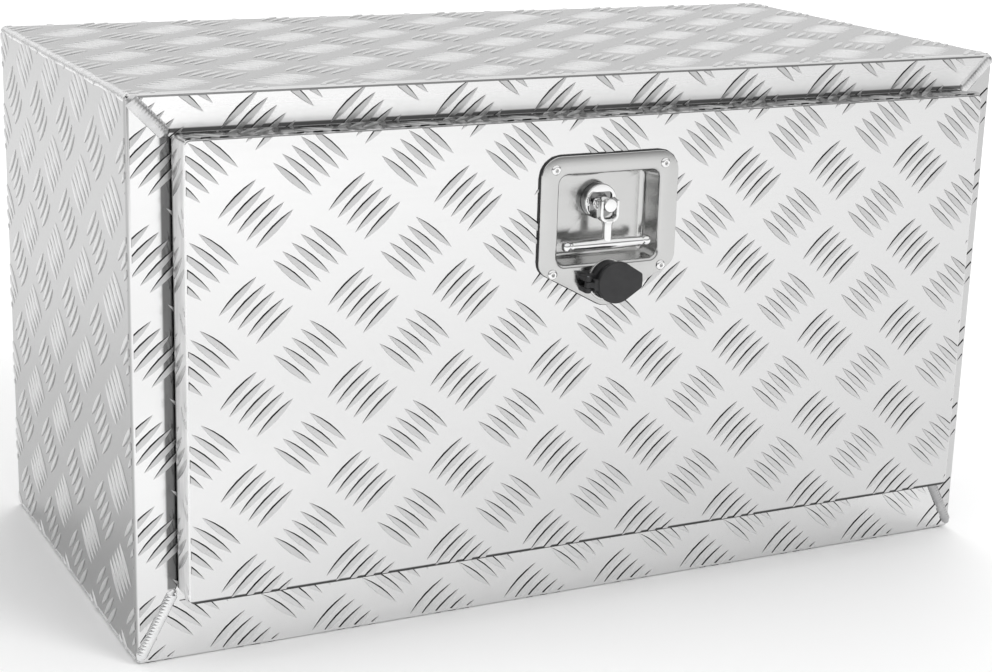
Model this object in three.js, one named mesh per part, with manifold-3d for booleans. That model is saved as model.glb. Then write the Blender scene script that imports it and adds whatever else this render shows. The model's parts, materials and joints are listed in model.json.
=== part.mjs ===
// Underbody truck tool box: a welded tread plate cabinet with a drop-down door and a folding tee latch.
// Millimetres, +Z up, +X to the right, and the door faces -Y. The origin is the middle of the base.

import * as THREE from 'three';
import { mergeVertices } from 'three/addons/utils/BufferGeometryUtils.js';
import Module from 'manifold-3d';

const wasm = await Module();
wasm.setup();

// Driving dimensions of the cabinet
const boxWidth = 762;
const boxDepth = 370;
const boxHeight = 432;
const sheet = 2;
const bendRadius = 3;
const frameSide = 44;
const frameTop = 44;
const frameBottom = 82;
const lipDepth = 16;
const edgeWeldLeg = 3;
const backSetIn = 3;
const mitreBeadWidth = 7.4;
const mitreBeadHeight = 1.4;
const mitreBeadStart = 7;
const mitreBeadEndShare = 0.86;

// Clearances that the pieces share
const weldGap = 0.3;
const seatGap = 0.3;
const runningGap = 0.4;
const cutOverrun = 5;

// Counts of flat sides on round pieces
const smallSides = 12;
const pinSides = 16;
const holeSides = 24;
const discSides = 28;
const capSides = 48;
const nutSides = 6;
const bendSteps = 3;

// Driving dimensions of the door, its seal and its hinge
const doorMarginSide = 32.5;
const doorMarginTop = 28.5;
const doorMarginBottom = 55;
const doorProud = 30;
const doorRearGap = 2.5;
const doorBend = 1.5;
const doorCorner = 5;
const sealGrip = 6;
const sealWall = 3;
const hingeEndMargin = 18.5;
const knuckleRadius = 3.2;
const knuckleBore = 1.8;
const hingePinRadius = 1.5;
const hingePinHeadRadius = 2.4;
const hingePinHeadLength = 1.6;
const knuckleAxialGap = 0.5;
const knuckleCount = 21;
const leafThickness = 1.2;
const leafWidth = 22;

// Driving dimensions of the two door stays
const stayHeight = 150;
const stayDoorInset = 11;
const stayPostAngle = 58;
const stayArmWidth = 16;
const stayArmThickness = 2.5;
const stayInset = 56;
const stayPinRadius = 3.5;
const stayHeadRadius = 6.5;
const stayHeadThickness = 2.5;
const stayPostRadius = 7;
const stayFootWidth = 18;
const stayEarThickness = 2.5;
const stayFootThickness = 2;

// Driving dimensions of the latch plate and the tray pressed into it
const latchX = -8.5;
const latchTopMargin = 28.9;
const latchShoulderDrop = 89.6;
const latchPlateHeight = 122.4;
const latchHalfWidth = 60.3;
const latchTopRadius = 17;
const latchShoulderRadius = 12;
const latchPointRadius = 16;
const latchThickness = 1.5;
const gasketThickness = 1.5;
const gasketRim = 0.8;
const trayHalfWidth = 44.2;
const trayTopMargin = 15.3;
const trayHeight = 70.3;
const trayDepth = 22;
const trayWall = 1.2;
const trayCorner = 6;
const trayFlare = 3;
const trayDraft = 2;
const rivetSpacingX = 96.2;
const rivetTopMargin = 10.2;
const rivetSpacingZ = 81.8;
const rivetHeadRadius = 4.2;
const rivetHeadHeight = 1.6;
const rivetShankRadius = 2.2;
const rivetHole = 0.9;
const rivetTail = 3;

// Driving dimensions of the hub, the cam and the tee handle
const hubRise = 45;
const hubRadius = 14;
const hubSetBack = 14;
const hubChamfer = 1;
const shaftRadius = 6;
const shaftNeckRadius = 4;
const bushRadius = 11;
const bushLength = 5;
const pivotSetBack = 7;
const postRadius = 5.3;
const postStandOff = 1.9;
const postChamfer = 1;
const eyeRadius = 4.6;
const cheekThickness = 2.6;
const pivotPinRadius = 2.2;
const pivotHeadRadius = 3;
const pivotHeadThickness = 1;
const yokeReach = 8;
const yokeDepth = 7;
const yokeTop = 3.4;
const yokeCorner = 5;
const bridgeTop = 10.8;
const bridgeBottom = 14;
const stemRadius = 3.7;
const stemReach = 4;
const teeReach = 31;
const teeHalfLength = 39;
const teeRadius = 4.3;
const teeEndRadius = 4;
const teeCollarLength = 7;
const camReach = 66;
const camTailReach = 36;
const camHalfWidth = 8;
const camThickness = 3;
const camClearance = 1;
const camRestAngle = 25;
const camNutRadius = 7;
const camNutThickness = 5;
const strikerHalfWidth = 25;
const strikerThickness = 1.5;
const strikerLowMargin = 4;
const strikerHighMargin = 18;

// Driving dimensions of the lock and its weather cap
const lockRise = 22.8;
const bezelRadius = 12.6;
const bezelHeight = 6;
const barrelRadius = 9;
const plugRadius = 6;
const plugGap = 0.3;
const keySlotWidth = 1.6;
const keySlotHeight = 7;
const keySlotDepth = 9;
const lockNutRadius = 13;
const lockNutThickness = 5;
const lockTailReach = 36;
const lockTailHalfWidth = 4.5;
const collarWall = 2;
const collarHeight = 7;
const capRadius = 16.5;
const capThickness = 4.5;
const capTabReach = 24;
const capTabHalfWidth = 6;
const capHingeOffset = 22;
const capHingeRadius = 2.6;
const capHingePinRadius = 1;
const capHingeHalfHeight = 6.5;
const capKnuckleHalfHeight = 2.2;

// Places that follow from the driving dimensions
const halfWidth = boxWidth / 2;
const frontY = -boxDepth / 2;
const backY = boxDepth / 2;
const doorFrontY = frontY - doorProud;
const doorRearY = frontY - doorRearGap;
const doorLow = doorMarginBottom;
const doorHigh = boxHeight - doorMarginTop;
const doorHalfWidth = halfWidth - doorMarginSide;
const hingeHalfLength = doorHalfWidth - hingeEndMargin;
const hingeY = frontY - seatGap - knuckleRadius;
const hingeZ = doorLow - seatGap - knuckleRadius;
const latchTop = doorHigh - latchTopMargin;
const latchShoulder = latchTop - latchShoulderDrop;
const latchPoint = latchTop - latchPlateHeight;
const trayHigh = latchTop - trayTopMargin;
const trayLow = trayHigh - trayHeight;
const rivetHigh = latchTop - rivetTopMargin;
const rivetLow = rivetHigh - rivetSpacingZ;
const hubHeight = trayLow + hubRise;
const lockHeight = latchPoint + lockRise;
const gasketFrontY = doorFrontY - gasketThickness;
const plateFrontY = gasketFrontY - latchThickness;
const trayFloorY = plateFrontY + trayDepth;
const camFrontY = frontY + sheet + strikerThickness + camClearance;
const camRearY = camFrontY + camThickness;
const hubFrontY = plateFrontY + hubSetBack;
const pivotY = plateFrontY + pivotSetBack;
const postFrontY = plateFrontY - postStandOff;

const aluminium = new THREE.MeshStandardMaterial({ color: 0xd9dadb, roughness: 0.32, metalness: 1 });
const weldMetal = new THREE.MeshStandardMaterial({ color: 0xc9cacb, roughness: 0.45, metalness: 1 });
const stainless = new THREE.MeshStandardMaterial({ color: 0xcfcfce, roughness: 0.25, metalness: 1 });
const zinc = new THREE.MeshStandardMaterial({ color: 0xa9abad, roughness: 0.4, metalness: 1 });
const rubber = new THREE.MeshStandardMaterial({ color: 0x2b2b2c, roughness: 0.75, metalness: 0 });

const toolBox = new THREE.Group();

// Helpers: closed geometry, joins and cuts, and the three ways that an outline or profile is laid
function closedGeometry(points, faces) {
  let volume = 0;
  for (const [a, b, c] of faces) {
    const cross = new THREE.Vector3().crossVectors(points[b], points[c]);
    volume += points[a].dot(cross);
  }
  const index = faces.flatMap(([a, b, c]) => (volume < 0 ? [a, c, b] : [a, b, c]));
  const geometry = new THREE.BufferGeometry().setFromPoints(points);
  geometry.setIndex(index);
  geometry.computeVertexNormals();
  return geometry;
}

function solidOf(geometry) {
  const bare = geometry.clone();
  bare.deleteAttribute('normal');
  bare.deleteAttribute('uv');
  const merged = mergeVertices(bare);
  const vertProperties = new Float32Array(merged.attributes.position.array);
  const triVerts = new Uint32Array(merged.index.array);
  return new wasm.Manifold(new wasm.Mesh({ numProp: 3, vertProperties, triVerts }));
}

function geometryOf(solid) {
  const mesh = solid.getMesh();
  const geometry = new THREE.BufferGeometry();
  geometry.setAttribute('position', new THREE.BufferAttribute(mesh.vertProperties, mesh.numProp));
  geometry.setIndex(new THREE.BufferAttribute(mesh.triVerts, 1));
  geometry.computeVertexNormals();
  return geometry;
}

function joined(...geometries) {
  return geometryOf(geometries.map(solidOf).reduce((whole, piece) => whole.add(piece)));
}

function cut(geometry, ...tools) {
  return geometryOf(tools.map(solidOf).reduce((whole, tool) => whole.subtract(tool), solidOf(geometry)));
}

function addPart(name, geometry, material, group = toolBox) {
  const mesh = new THREE.Mesh(geometry, material);
  mesh.name = name;
  group.add(mesh);
  return mesh;
}

const axisX = new THREE.Vector3(1, 0, 0);
const axisY = new THREE.Vector3(0, 1, 0);
const axisZ = new THREE.Vector3(0, 0, 1);
const facingFront = new THREE.Matrix4().makeBasis(axisX, axisZ, axisY.clone().negate());
const facingSide = new THREE.Matrix4().makeBasis(axisY, axisZ, axisX);
const turnedToX = new THREE.Matrix4().makeBasis(axisZ, axisX, axisY);

function extruded(outline, depth, holes = []) {
  const shape = new THREE.Shape(outline);
  shape.holes = holes.map((hole) => new THREE.Path(hole));
  return new THREE.ExtrudeGeometry(shape, { depth, bevelEnabled: false });
}

// A plate parallel to the door: its outline is in X and Z, and it runs from frontAt back to rearAt.
function frontPlate(outline, frontAt, rearAt, holes = []) {
  const plate = extruded(outline, rearAt - frontAt, holes);
  return plate.applyMatrix4(facingFront).translate(0, rearAt, 0);
}

// A plate parallel to the ends: its outline is in Y and Z, and it runs from x = from to x = to.
function sidePlate(outline, from, to, holes = []) {
  return extruded(outline, to - from, holes).applyMatrix4(facingSide).translate(from, 0, 0);
}

function block(lowX, lowY, lowZ, highX, highY, highZ) {
  const box = new THREE.BoxGeometry(highX - lowX, highY - lowY, highZ - lowZ);
  return box.translate((lowX + highX) / 2, (lowY + highY) / 2, (lowZ + highZ) / 2);
}

// A solid turned about Y from a closed profile of radius and distance, given anticlockwise.
function turned(profile, sides) {
  const points = [...profile, profile[0]].map(([radius, along]) => new THREE.Vector2(radius, along));
  const onAxis = profile[0][0] === 0;
  return new THREE.LatheGeometry(onAxis ? points.slice(0, -1) : points, sides);
}

// A straight pin along Y, from low to high.
function rod(radius, low, high, sides) {
  return turned([[0, low], [radius, low], [radius, high], [0, high]], sides);
}

function circle(centreX, centreY, radius, sides) {
  const steps = Array.from({ length: sides }, (_, step) => (2 * Math.PI * step) / sides);
  return steps.map((angle) => new THREE.Vector2(
    centreX + radius * Math.cos(angle), centreY + radius * Math.sin(angle)));
}

// An outline with each corner [x, y, radius] rounded by an arc of the given number of steps.
function rounded(corners, steps = 4) {
  return corners.flatMap(([x, y, radius], place) => {
    const here = new THREE.Vector2(x, y);
    const before = corners[(place + corners.length - 1) % corners.length];
    const after = corners[(place + 1) % corners.length];
    const toBefore = new THREE.Vector2(before[0], before[1]).sub(here).normalize();
    const toAfter = new THREE.Vector2(after[0], after[1]).sub(here).normalize();
    const halfAngle = Math.acos(toBefore.dot(toAfter)) / 2;
    const middle = toBefore.clone().add(toAfter).normalize();
    const centre = middle.clone().multiplyScalar(radius / Math.sin(halfAngle)).add(here);
    const reach = radius / Math.tan(halfAngle);
    const first = toBefore.multiplyScalar(reach).add(here).sub(centre).angle();
    const last = toAfter.multiplyScalar(reach).add(here).sub(centre).angle();
    const sweep = THREE.MathUtils.euclideanModulo(last - first + Math.PI, 2 * Math.PI) - Math.PI;
    return Array.from({ length: steps + 1 }, (_, step) => {
      const angle = first + (sweep * step) / steps;
      return new THREE.Vector2(centre.x + radius * Math.cos(angle), centre.y + radius * Math.sin(angle));
    });
  });
}

function roundedRectangle(lowX, lowZ, highX, highZ, radius, inset = 0) {
  const corner = radius - inset > sheet / 4 ? radius - inset : sheet / 4;
  return rounded([
    [lowX + inset, lowZ + inset, corner], [highX - inset, lowZ + inset, corner],
    [highX - inset, highZ - inset, corner], [lowX + inset, highZ - inset, corner],
  ]);
}

// A skin through outlines of equal counts, each [outline, y], with a flat face over the first and last.
function lofted(rings) {
  const count = rings[0][0].length;
  const points = rings.flatMap(([outline, y]) => outline.map((p) => new THREE.Vector3(p.x, y, p.y)));
  const faces = [];
  for (let ring = 0; ring < rings.length - 1; ring += 1) {
    for (let place = 0; place < count; place += 1) {
      const here = ring * count + place;
      const beside = ring * count + ((place + 1) % count);
      faces.push([here, beside, beside + count], [here, beside + count, here + count]);
    }
  }
  const lastRing = (rings.length - 1) * count;
  for (const [a, b, c] of THREE.ShapeUtils.triangulateShape(rings[0][0], [])) faces.push([a, c, b]);
  for (const [a, b, c] of THREE.ShapeUtils.triangulateShape(rings[rings.length - 1][0], [])) {
    faces.push([lastRing + a, lastRing + b, lastRing + c]);
  }
  return closedGeometry(points, faces);
}

// Cabinet panels: each is a plate bent into the front frame and again into the lip round the mouth.
// Its ends are mitred to its neighbours, and the outer edges are cut back for the edge welds.
function endInset(fromOutside, ownFrame, otherFrame) {
  if (fromOutside < sheet) {
    return edgeWeldLeg + ((sheet - edgeWeldLeg) * fromOutside) / sheet;
  }
  return sheet + ((fromOutside - sheet) * (otherFrame - sheet)) / (ownFrame - sheet);
}

function framePanel(ownFrame, lowEnd, highEnd, lowFrame, highFrame, toWorld) {
  const bend = Array.from({ length: bendSteps + 1 }, (_, step) => {
    const angle = (Math.PI / 2) * (step / bendSteps);
    return new THREE.Vector2(
      bendRadius * (1 - Math.sin(angle)), frontY + bendRadius * (1 - Math.cos(angle)));
  });
  const profile = [
    new THREE.Vector2(0, backY), new THREE.Vector2(sheet, backY),
    new THREE.Vector2(sheet, frontY + sheet), new THREE.Vector2(ownFrame, frontY + sheet),
    new THREE.Vector2(ownFrame, frontY - lipDepth), new THREE.Vector2(ownFrame - sheet, frontY - lipDepth),
    new THREE.Vector2(ownFrame - sheet, frontY), ...bend,
  ];
  if (THREE.ShapeUtils.isClockWise(profile)) profile.reverse();
  const count = profile.length;
  const lowPoints = profile.map(({ x: inwards, y }) =>
    toWorld(lowEnd + endInset(inwards, ownFrame, lowFrame) + weldGap, inwards, y));
  const highPoints = profile.map(({ x: inwards, y }) =>
    toWorld(highEnd - endInset(inwards, ownFrame, highFrame) - weldGap, inwards, y));
  const faces = [];
  for (const [a, b, c] of THREE.ShapeUtils.triangulateShape(profile, [])) {
    faces.push([a, c, b], [count + a, count + b, count + c]);
  }
  for (let place = 0; place < count; place += 1) {
    const next = (place + 1) % count;
    faces.push([place, next, count + next], [place, count + next, count + place]);
  }
  return closedGeometry([...lowPoints, ...highPoints], faces);
}

function addCabinetPanels() {
  const onTop = (along, inwards, y) => new THREE.Vector3(along, y, boxHeight - inwards);
  const onBottom = (along, inwards, y) => new THREE.Vector3(along, y, inwards);
  const onLeft = (along, inwards, y) => new THREE.Vector3(inwards - halfWidth, y, along);
  const onRight = (along, inwards, y) => new THREE.Vector3(halfWidth - inwards, y, along);
  const along = [-halfWidth, halfWidth, frameSide, frameSide];
  const upright = [0, boxHeight, frameBottom, frameTop];
  addPart('top_panel', framePanel(frameTop, ...along, onTop), aluminium);
  addPart('bottom_panel', framePanel(frameBottom, ...along, onBottom), aluminium);
  addPart('left_end_panel', framePanel(frameSide, ...upright, onLeft), aluminium);
  addPart('right_end_panel', framePanel(frameSide, ...upright, onRight), aluminium);
  const edge = sheet + weldGap;
  const backRear = backY - backSetIn;
  addPart('back_panel', block(
    edge - halfWidth, backRear - sheet, edge, halfWidth - edge, backRear, boxHeight - edge), aluminium);
}

// Weld beads on the mitres of the front frame: a low rounded bead with a flat foot on the frame.
function mitreBead(cornerX, cornerZ, innerX, innerZ) {
  const arcSteps = 6;
  const corner = new THREE.Vector2(cornerX, cornerZ);
  const inner = new THREE.Vector2(innerX, innerZ);
  const length = inner.distanceTo(corner);
  const along = inner.clone().sub(corner).normalize();
  const across = new THREE.Vector2(-along.y, along.x);
  const ring = (distance) => Array.from({ length: arcSteps + 1 }, (_, step) => {
    const side = (2 * step) / arcSteps - 1;
    const place = corner.clone().addScaledVector(along, distance);
    place.addScaledVector(across, (side * mitreBeadWidth) / 2);
    return new THREE.Vector3(place.x, frontY - mitreBeadHeight * (1 - side * side), place.y);
  });
  const start = ring(mitreBeadStart);
  const end = ring(length * mitreBeadEndShare);
  const count = start.length;
  const faces = [[0, count - 1, 2 * count - 1], [0, 2 * count - 1, count]];
  for (let place = 0; place < count - 1; place += 1) {
    faces.push([place, count + place + 1, place + 1], [place, count + place, count + place + 1]);
    if (place > 0) faces.push([0, place, place + 1], [count, count + place + 1, count + place]);
  }
  return closedGeometry([...start, ...end], faces);
}

// Weld along an outer edge of the cabinet: it fills the notch and rounds the edge over.
function edgeBead(sideX, atTop) {
  const arcSteps = 4;
  const leg = edgeWeldLeg - weldGap;
  const arc = Array.from({ length: arcSteps + 1 }, (_, step) => {
    const angle = (Math.PI / 2) * (step / arcSteps);
    return [leg * (1 - Math.sin(angle)), leg * (1 - Math.cos(angle))];
  });
  const section = [...arc, [sheet - weldGap, sheet - weldGap]];
  const outline = section.map(([inX, inZ]) => new THREE.Vector2(
    sideX * (halfWidth - inX), atTop ? boxHeight - inZ : inZ));
  return frontPlate(outline, frontY + bendRadius, backY);
}

function addWelds() {
  for (const [side, sideX] of [['left', -1], ['right', 1]]) {
    const cornerX = sideX * halfWidth;
    const innerX = sideX * (halfWidth - frameSide);
    addPart(`mitre_weld_top_${side}`,
      mitreBead(cornerX, boxHeight, innerX, boxHeight - frameTop), weldMetal);
    addPart(`mitre_weld_bottom_${side}`, mitreBead(cornerX, 0, innerX, frameBottom), weldMetal);
    addPart(`edge_weld_top_${side}`, edgeBead(sideX, true), weldMetal);
    addPart(`edge_weld_bottom_${side}`, edgeBead(sideX, false), weldMetal);
    const wallX = sideX * (halfWidth - sheet);
    const low = sheet + backSetIn + weldGap;
    const section = [
      [wallX, backY - backSetIn], [wallX, backY], [wallX - sideX * backSetIn, backY - backSetIn],
    ].map(([x, y]) => new THREE.Vector2(x, y));
    const bead = extruded(section, boxHeight - 2 * low).translate(0, 0, low);
    addPart(`back_weld_${side}`, bead, weldMetal);
  }
  for (const [level, wallZ, inwards] of [['top', boxHeight - sheet, -1], ['bottom', sheet, 1]]) {
    const section = [
      [backY - backSetIn, wallZ], [backY, wallZ], [backY - backSetIn, wallZ + inwards * backSetIn],
    ].map(([y, z]) => new THREE.Vector2(y, z));
    const reach = halfWidth - sheet;
    addPart(`back_weld_${level}`, sidePlate(section, -reach, reach), weldMetal);
  }
}

// Door: a folded pan that stands proud of the frame, and the rubber seal on the lip of the mouth.
function latchOutline(grow) {
  return rounded([
    [latchX - latchHalfWidth - grow, latchTop + grow, latchTopRadius + grow],
    [latchX - latchHalfWidth - grow, latchShoulder, latchShoulderRadius + grow],
    [latchX, latchPoint - grow, latchPointRadius + grow],
    [latchX + latchHalfWidth + grow, latchShoulder, latchShoulderRadius + grow],
    [latchX + latchHalfWidth + grow, latchTop + grow, latchTopRadius + grow],
  ]);
}

function trayOutline(inset) {
  return roundedRectangle(
    latchX - trayHalfWidth, trayLow, latchX + trayHalfWidth, trayHigh, trayCorner + trayWall, inset);
}

// The skin and the gasket share the opening that the tray drops through and the hole for the lock.
function latchOpenings(frontAt, rearAt) {
  const tray = frontPlate(trayOutline(-trayWall - seatGap), frontAt, rearAt);
  const lock = frontPlate(circle(latchX, lockHeight, barrelRadius + seatGap, holeSides), frontAt, rearAt);
  return [tray, lock];
}

const rivetPlaces = [
  [latchX - rivetSpacingX / 2, rivetHigh], [latchX + rivetSpacingX / 2, rivetHigh],
  [latchX - rivetSpacingX / 2, rivetLow], [latchX + rivetSpacingX / 2, rivetLow],
];

function rivetHoles(frontAt, rearAt) {
  return rivetPlaces.map(([x, z]) =>
    frontPlate(circle(x, z, rivetShankRadius + seatGap, smallSides), frontAt, rearAt));
}

function addDoor() {
  const outline = (inset) =>
    roundedRectangle(-doorHalfWidth, doorLow, doorHalfWidth, doorHigh, doorCorner, inset);
  const bend = Array.from({ length: bendSteps + 1 }, (_, step) => {
    const angle = (Math.PI / 2) * (step / bendSteps);
    return [outline(doorBend * (1 - Math.cos(angle))), doorFrontY + doorBend * (1 - Math.sin(angle))];
  });
  const pan = lofted([
    [outline(sheet), doorFrontY + sheet], [outline(sheet), doorRearY], [outline(0), doorRearY], ...bend,
  ]);
  const frontAt = doorFrontY - cutOverrun;
  const rearAt = doorFrontY + sheet + cutOverrun;
  const holes = [...latchOpenings(frontAt, rearAt), ...rivetHoles(frontAt, rearAt)];
  addPart('door_skin', cut(pan, ...holes), aluminium);
}

function addSeal() {
  const lip = [frameSide - halfWidth, frameBottom, halfWidth - frameSide, boxHeight - frameTop];
  const ringAt = (outwards) => [lip[0] - outwards, lip[1] - outwards, lip[2] + outwards, lip[3] + outwards];
  const sharp = ([lowX, lowZ, highX, highZ]) =>
    [[lowX, lowZ], [highX, lowZ], [highX, highZ], [lowX, highZ]].map(([x, z]) => new THREE.Vector2(x, z));
  const frontAt = doorFrontY + sheet + seatGap;
  const lipEdge = frontY - lipDepth;
  const gripEnd = lipEdge + sealGrip;
  const body = frontPlate(
    roundedRectangle(...ringAt(sheet + sealWall), sealWall),
    frontAt, gripEnd, [roundedRectangle(...ringAt(-sealWall), sealWall)]);
  const groove = frontPlate(
    sharp(ringAt(sheet + seatGap)), lipEdge - seatGap, gripEnd + cutOverrun, [sharp(ringAt(-seatGap))]);
  const lipFoot = endInset(frameSide - sheet, frameSide, frameBottom);
  const reliefs = [-1, 1].map((side) => {
    const nearX = side * (halfWidth - frameSide - seatGap);
    const farX = side * (halfWidth - frameSide + sheet + seatGap);
    return block(Math.min(nearX, farX), lipEdge - seatGap, lipFoot - seatGap,
      Math.max(nearX, farX), gripEnd + cutOverrun, frameBottom);
  });
  addPart('door_seal', cut(body, groove, ...reliefs), rubber);
}

// Piano hinge: the two leaves carry alternate knuckles on one long pin.
function knuckle(from, to) {
  const ring = turned(
    [[knuckleBore, from], [knuckleRadius, from], [knuckleRadius, to], [knuckleBore, to]], smallSides);
  return ring.applyMatrix4(turnedToX).translate(0, hingeY, hingeZ);
}

function addHinge() {
  const pitch = (2 * hingeHalfLength) / knuckleCount;
  const clear = knuckleRadius + runningGap;
  const bore = rod(knuckleBore, -hingeHalfLength - cutOverrun, hingeHalfLength + cutOverrun, smallSides);
  bore.applyMatrix4(turnedToX).translate(0, hingeY, hingeZ);
  const leaf = (first, strip, tabAt) => {
    const pieces = [strip];
    for (let place = first; place < knuckleCount; place += 2) {
      const from = place * pitch - hingeHalfLength + knuckleAxialGap / 2;
      const to = from + pitch - knuckleAxialGap;
      pieces.push(knuckle(from, to), tabAt(from, to));
    }
    return cut(joined(...pieces), bore);
  };
  const frameStrip = block(
    -hingeHalfLength, frontY - leafThickness, hingeZ + clear,
    hingeHalfLength, frontY, hingeZ + leafWidth);
  const frameTab = (from, to) => block(
    from, frontY - leafThickness, hingeZ, to, frontY, hingeZ + clear + leafThickness);
  const doorStrip = block(
    -hingeHalfLength, hingeY - leafWidth, doorLow - leafThickness,
    hingeHalfLength, hingeY - clear, doorLow);
  const doorTab = (from, to) => block(
    from, hingeY - clear - leafThickness, doorLow - leafThickness, to, hingeY, doorLow);
  addPart('hinge_frame_leaf', leaf(0, frameStrip, frameTab), stainless);
  addPart('hinge_door_leaf', leaf(1, doorStrip, doorTab), stainless);
  const headAt = hingeHalfLength + knuckleAxialGap;
  const pinProfile = [
    [0, -headAt - hingePinHeadLength], [hingePinHeadRadius, -headAt - hingePinHeadLength],
    [hingePinHeadRadius, -headAt], [hingePinRadius, -headAt], [hingePinRadius, headAt],
    [hingePinHeadRadius, headAt], [hingePinHeadRadius, headAt + hingePinHeadLength],
    [0, headAt + hingePinHeadLength],
  ];
  const pin = turned(pinProfile, smallSides).applyMatrix4(turnedToX).translate(0, hingeY, hingeZ);
  addPart('hinge_pin', pin, stainless);
}

// Door stays: a slotted arm pivots on the door and slides over a post on the end panel.
// The post and the pivot are equally far from the hinge, so the arm turns by half the door's angle.
const stayPivotY = doorFrontY + sheet + stayDoorInset;
const stayPivotZ = hingeZ + stayHeight;
const stayRadius = Math.hypot(stayPivotY - hingeY, stayPivotZ - hingeZ);
const stayPost = THREE.MathUtils.degToRad(stayPostAngle);
const stayPostY = hingeY + stayRadius * Math.cos(stayPost);
const stayPostZ = hingeZ + stayRadius * Math.sin(stayPost);
const stayClosedAngle = Math.atan2(stayPivotZ - hingeZ, stayPivotY - hingeY) - stayPost;
const stayClosedSpan = 2 * stayRadius * Math.sin(stayClosedAngle / 2);
const stayOpenSpan = 2 * stayRadius * Math.sin((stayClosedAngle + Math.PI / 2) / 2);

function slotOutline(from, to, halfHeight) {
  return rounded([
    [from - halfHeight, -halfHeight, halfHeight], [to + halfHeight, -halfHeight, halfHeight],
    [to + halfHeight, halfHeight, halfHeight], [from - halfHeight, halfHeight, halfHeight],
  ]);
}

function addStay(side, sideX) {
  const armInner = halfWidth - stayInset;
  const armOuter = armInner + stayArmThickness;
  const holeRadius = stayPinRadius + runningGap;
  const arm = sidePlate(
    slotOutline(0, stayOpenSpan, stayArmWidth / 2), armInner, armOuter,
    [circle(0, 0, holeRadius, pinSides), slotOutline(stayClosedSpan, stayOpenSpan, holeRadius)]);
  if (sideX < 0) arm.translate(-armInner - armOuter, 0, 0);
  const armGroup = new THREE.Group();
  armGroup.position.set(0, stayPivotY, stayPivotZ);
  armGroup.rotation.x = Math.atan2(stayPostZ - stayPivotZ, stayPostY - stayPivotY);
  addPart(`stay_arm_${side}`, arm, zinc, armGroup);
  toolBox.add(armGroup);

  const mirrored = (geometry) => (sideX > 0 ? geometry : geometry.applyMatrix4(
    new THREE.Matrix4().makeRotationZ(Math.PI)).translate(0, 2 * stayPostY, 0));
  const headFrom = armInner - seatGap - stayHeadThickness;
  const post = turned([
    [0, headFrom], [stayHeadRadius, headFrom], [stayHeadRadius, armInner - seatGap],
    [stayPinRadius, armInner - seatGap], [stayPinRadius, armOuter + seatGap],
    [stayPostRadius, armOuter + seatGap], [stayPostRadius, halfWidth - sheet - seatGap],
    [0, halfWidth - sheet - seatGap],
  ], pinSides).applyMatrix4(turnedToX).translate(0, stayPostY, stayPostZ);
  addPart(`stay_post_${side}`, mirrored(post), zinc);

  const skinInside = doorFrontY + sheet;
  const earInner = armOuter + seatGap;
  const earOuter = earInner + stayEarThickness;
  const lowZ = stayPivotZ - stayFootWidth / 2;
  const highZ = stayPivotZ + stayFootWidth / 2;
  const earRear = stayPivotY + stayHeadRadius;
  const ear = block(earInner, skinInside, lowZ, earOuter, earRear, highZ);
  const foot = block(
    earInner - stayFootWidth, skinInside, lowZ, earOuter, skinInside + stayFootThickness, highZ);
  const pin = turned([
    [0, headFrom], [stayHeadRadius - stayHeadThickness / 2, headFrom],
    [stayHeadRadius - stayHeadThickness / 2, armInner - seatGap], [stayPinRadius, armInner - seatGap],
    [stayPinRadius, earOuter], [0, earOuter],
  ], pinSides).applyMatrix4(turnedToX).translate(0, stayPivotY, stayPivotZ);
  const bracket = joined(ear, foot, pin);
  if (sideX < 0) {
    bracket.applyMatrix4(new THREE.Matrix4().makeRotationY(Math.PI)).translate(0, 0, 2 * stayPivotZ);
  }
  addPart(`stay_bracket_${side}`, bracket, zinc);
}

// Latch plate: one stainless pressing, a pointed plate with a tray drawn back through the door.
function addLatchPlate() {
  const plate = frontPlate(latchOutline(0), plateFrontY, gasketFrontY);
  const trayBody = lofted([
    [trayOutline(-trayWall), plateFrontY + latchThickness / 2],
    [trayOutline(-trayWall), gasketFrontY + trayFlare],
    [trayOutline(trayDraft - trayWall), trayFloorY + trayWall],
  ]);
  const hollow = lofted([
    [trayOutline(-trayFlare - trayWall / 2), plateFrontY - trayWall],
    [trayOutline(-trayFlare / 2), plateFrontY + trayWall / 4],
    [trayOutline(0), plateFrontY + latchThickness],
    [trayOutline(trayDraft), trayFloorY],
  ]);
  const shaft = frontPlate(
    circle(latchX, hubHeight, shaftRadius + seatGap, holeSides),
    trayFloorY - cutOverrun, trayFloorY + cutOverrun);
  const frontAt = plateFrontY - cutOverrun;
  const rearAt = gasketFrontY + cutOverrun;
  const lock = frontPlate(circle(latchX, lockHeight, barrelRadius + seatGap, holeSides), frontAt, rearAt);
  const plateCuts = [hollow, shaft, lock, ...rivetHoles(frontAt, rearAt)];
  addPart('latch_plate', cut(joined(plate, trayBody), ...plateCuts), stainless);
  const gasket = frontPlate(latchOutline(gasketRim), gasketFrontY, doorFrontY);
  const gasketCuts = [gasketFrontY - cutOverrun, doorFrontY + cutOverrun];
  addPart('latch_gasket', cut(gasket, ...latchOpenings(...gasketCuts), ...rivetHoles(...gasketCuts)), rubber);

  const headFront = plateFrontY - seatGap - rivetHeadHeight;
  const tail = doorFrontY + sheet + rivetTail;
  const rivetProfile = [
    [rivetHole, headFront + rivetHeadHeight / 4], [rivetShankRadius, headFront],
    [rivetHeadRadius * Math.SQRT1_2, headFront + rivetHeadHeight / 4],
    [rivetHeadRadius, plateFrontY - seatGap], [rivetShankRadius, plateFrontY - seatGap],
    [rivetShankRadius, tail], [rivetHole, tail],
  ];
  rivetPlaces.forEach(([x, z], place) => {
    const rivet = turned(rivetProfile, smallSides).translate(x, 0, z);
    addPart(`latch_rivet_${place + 1}`, rivet, stainless);
  });
}

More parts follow.
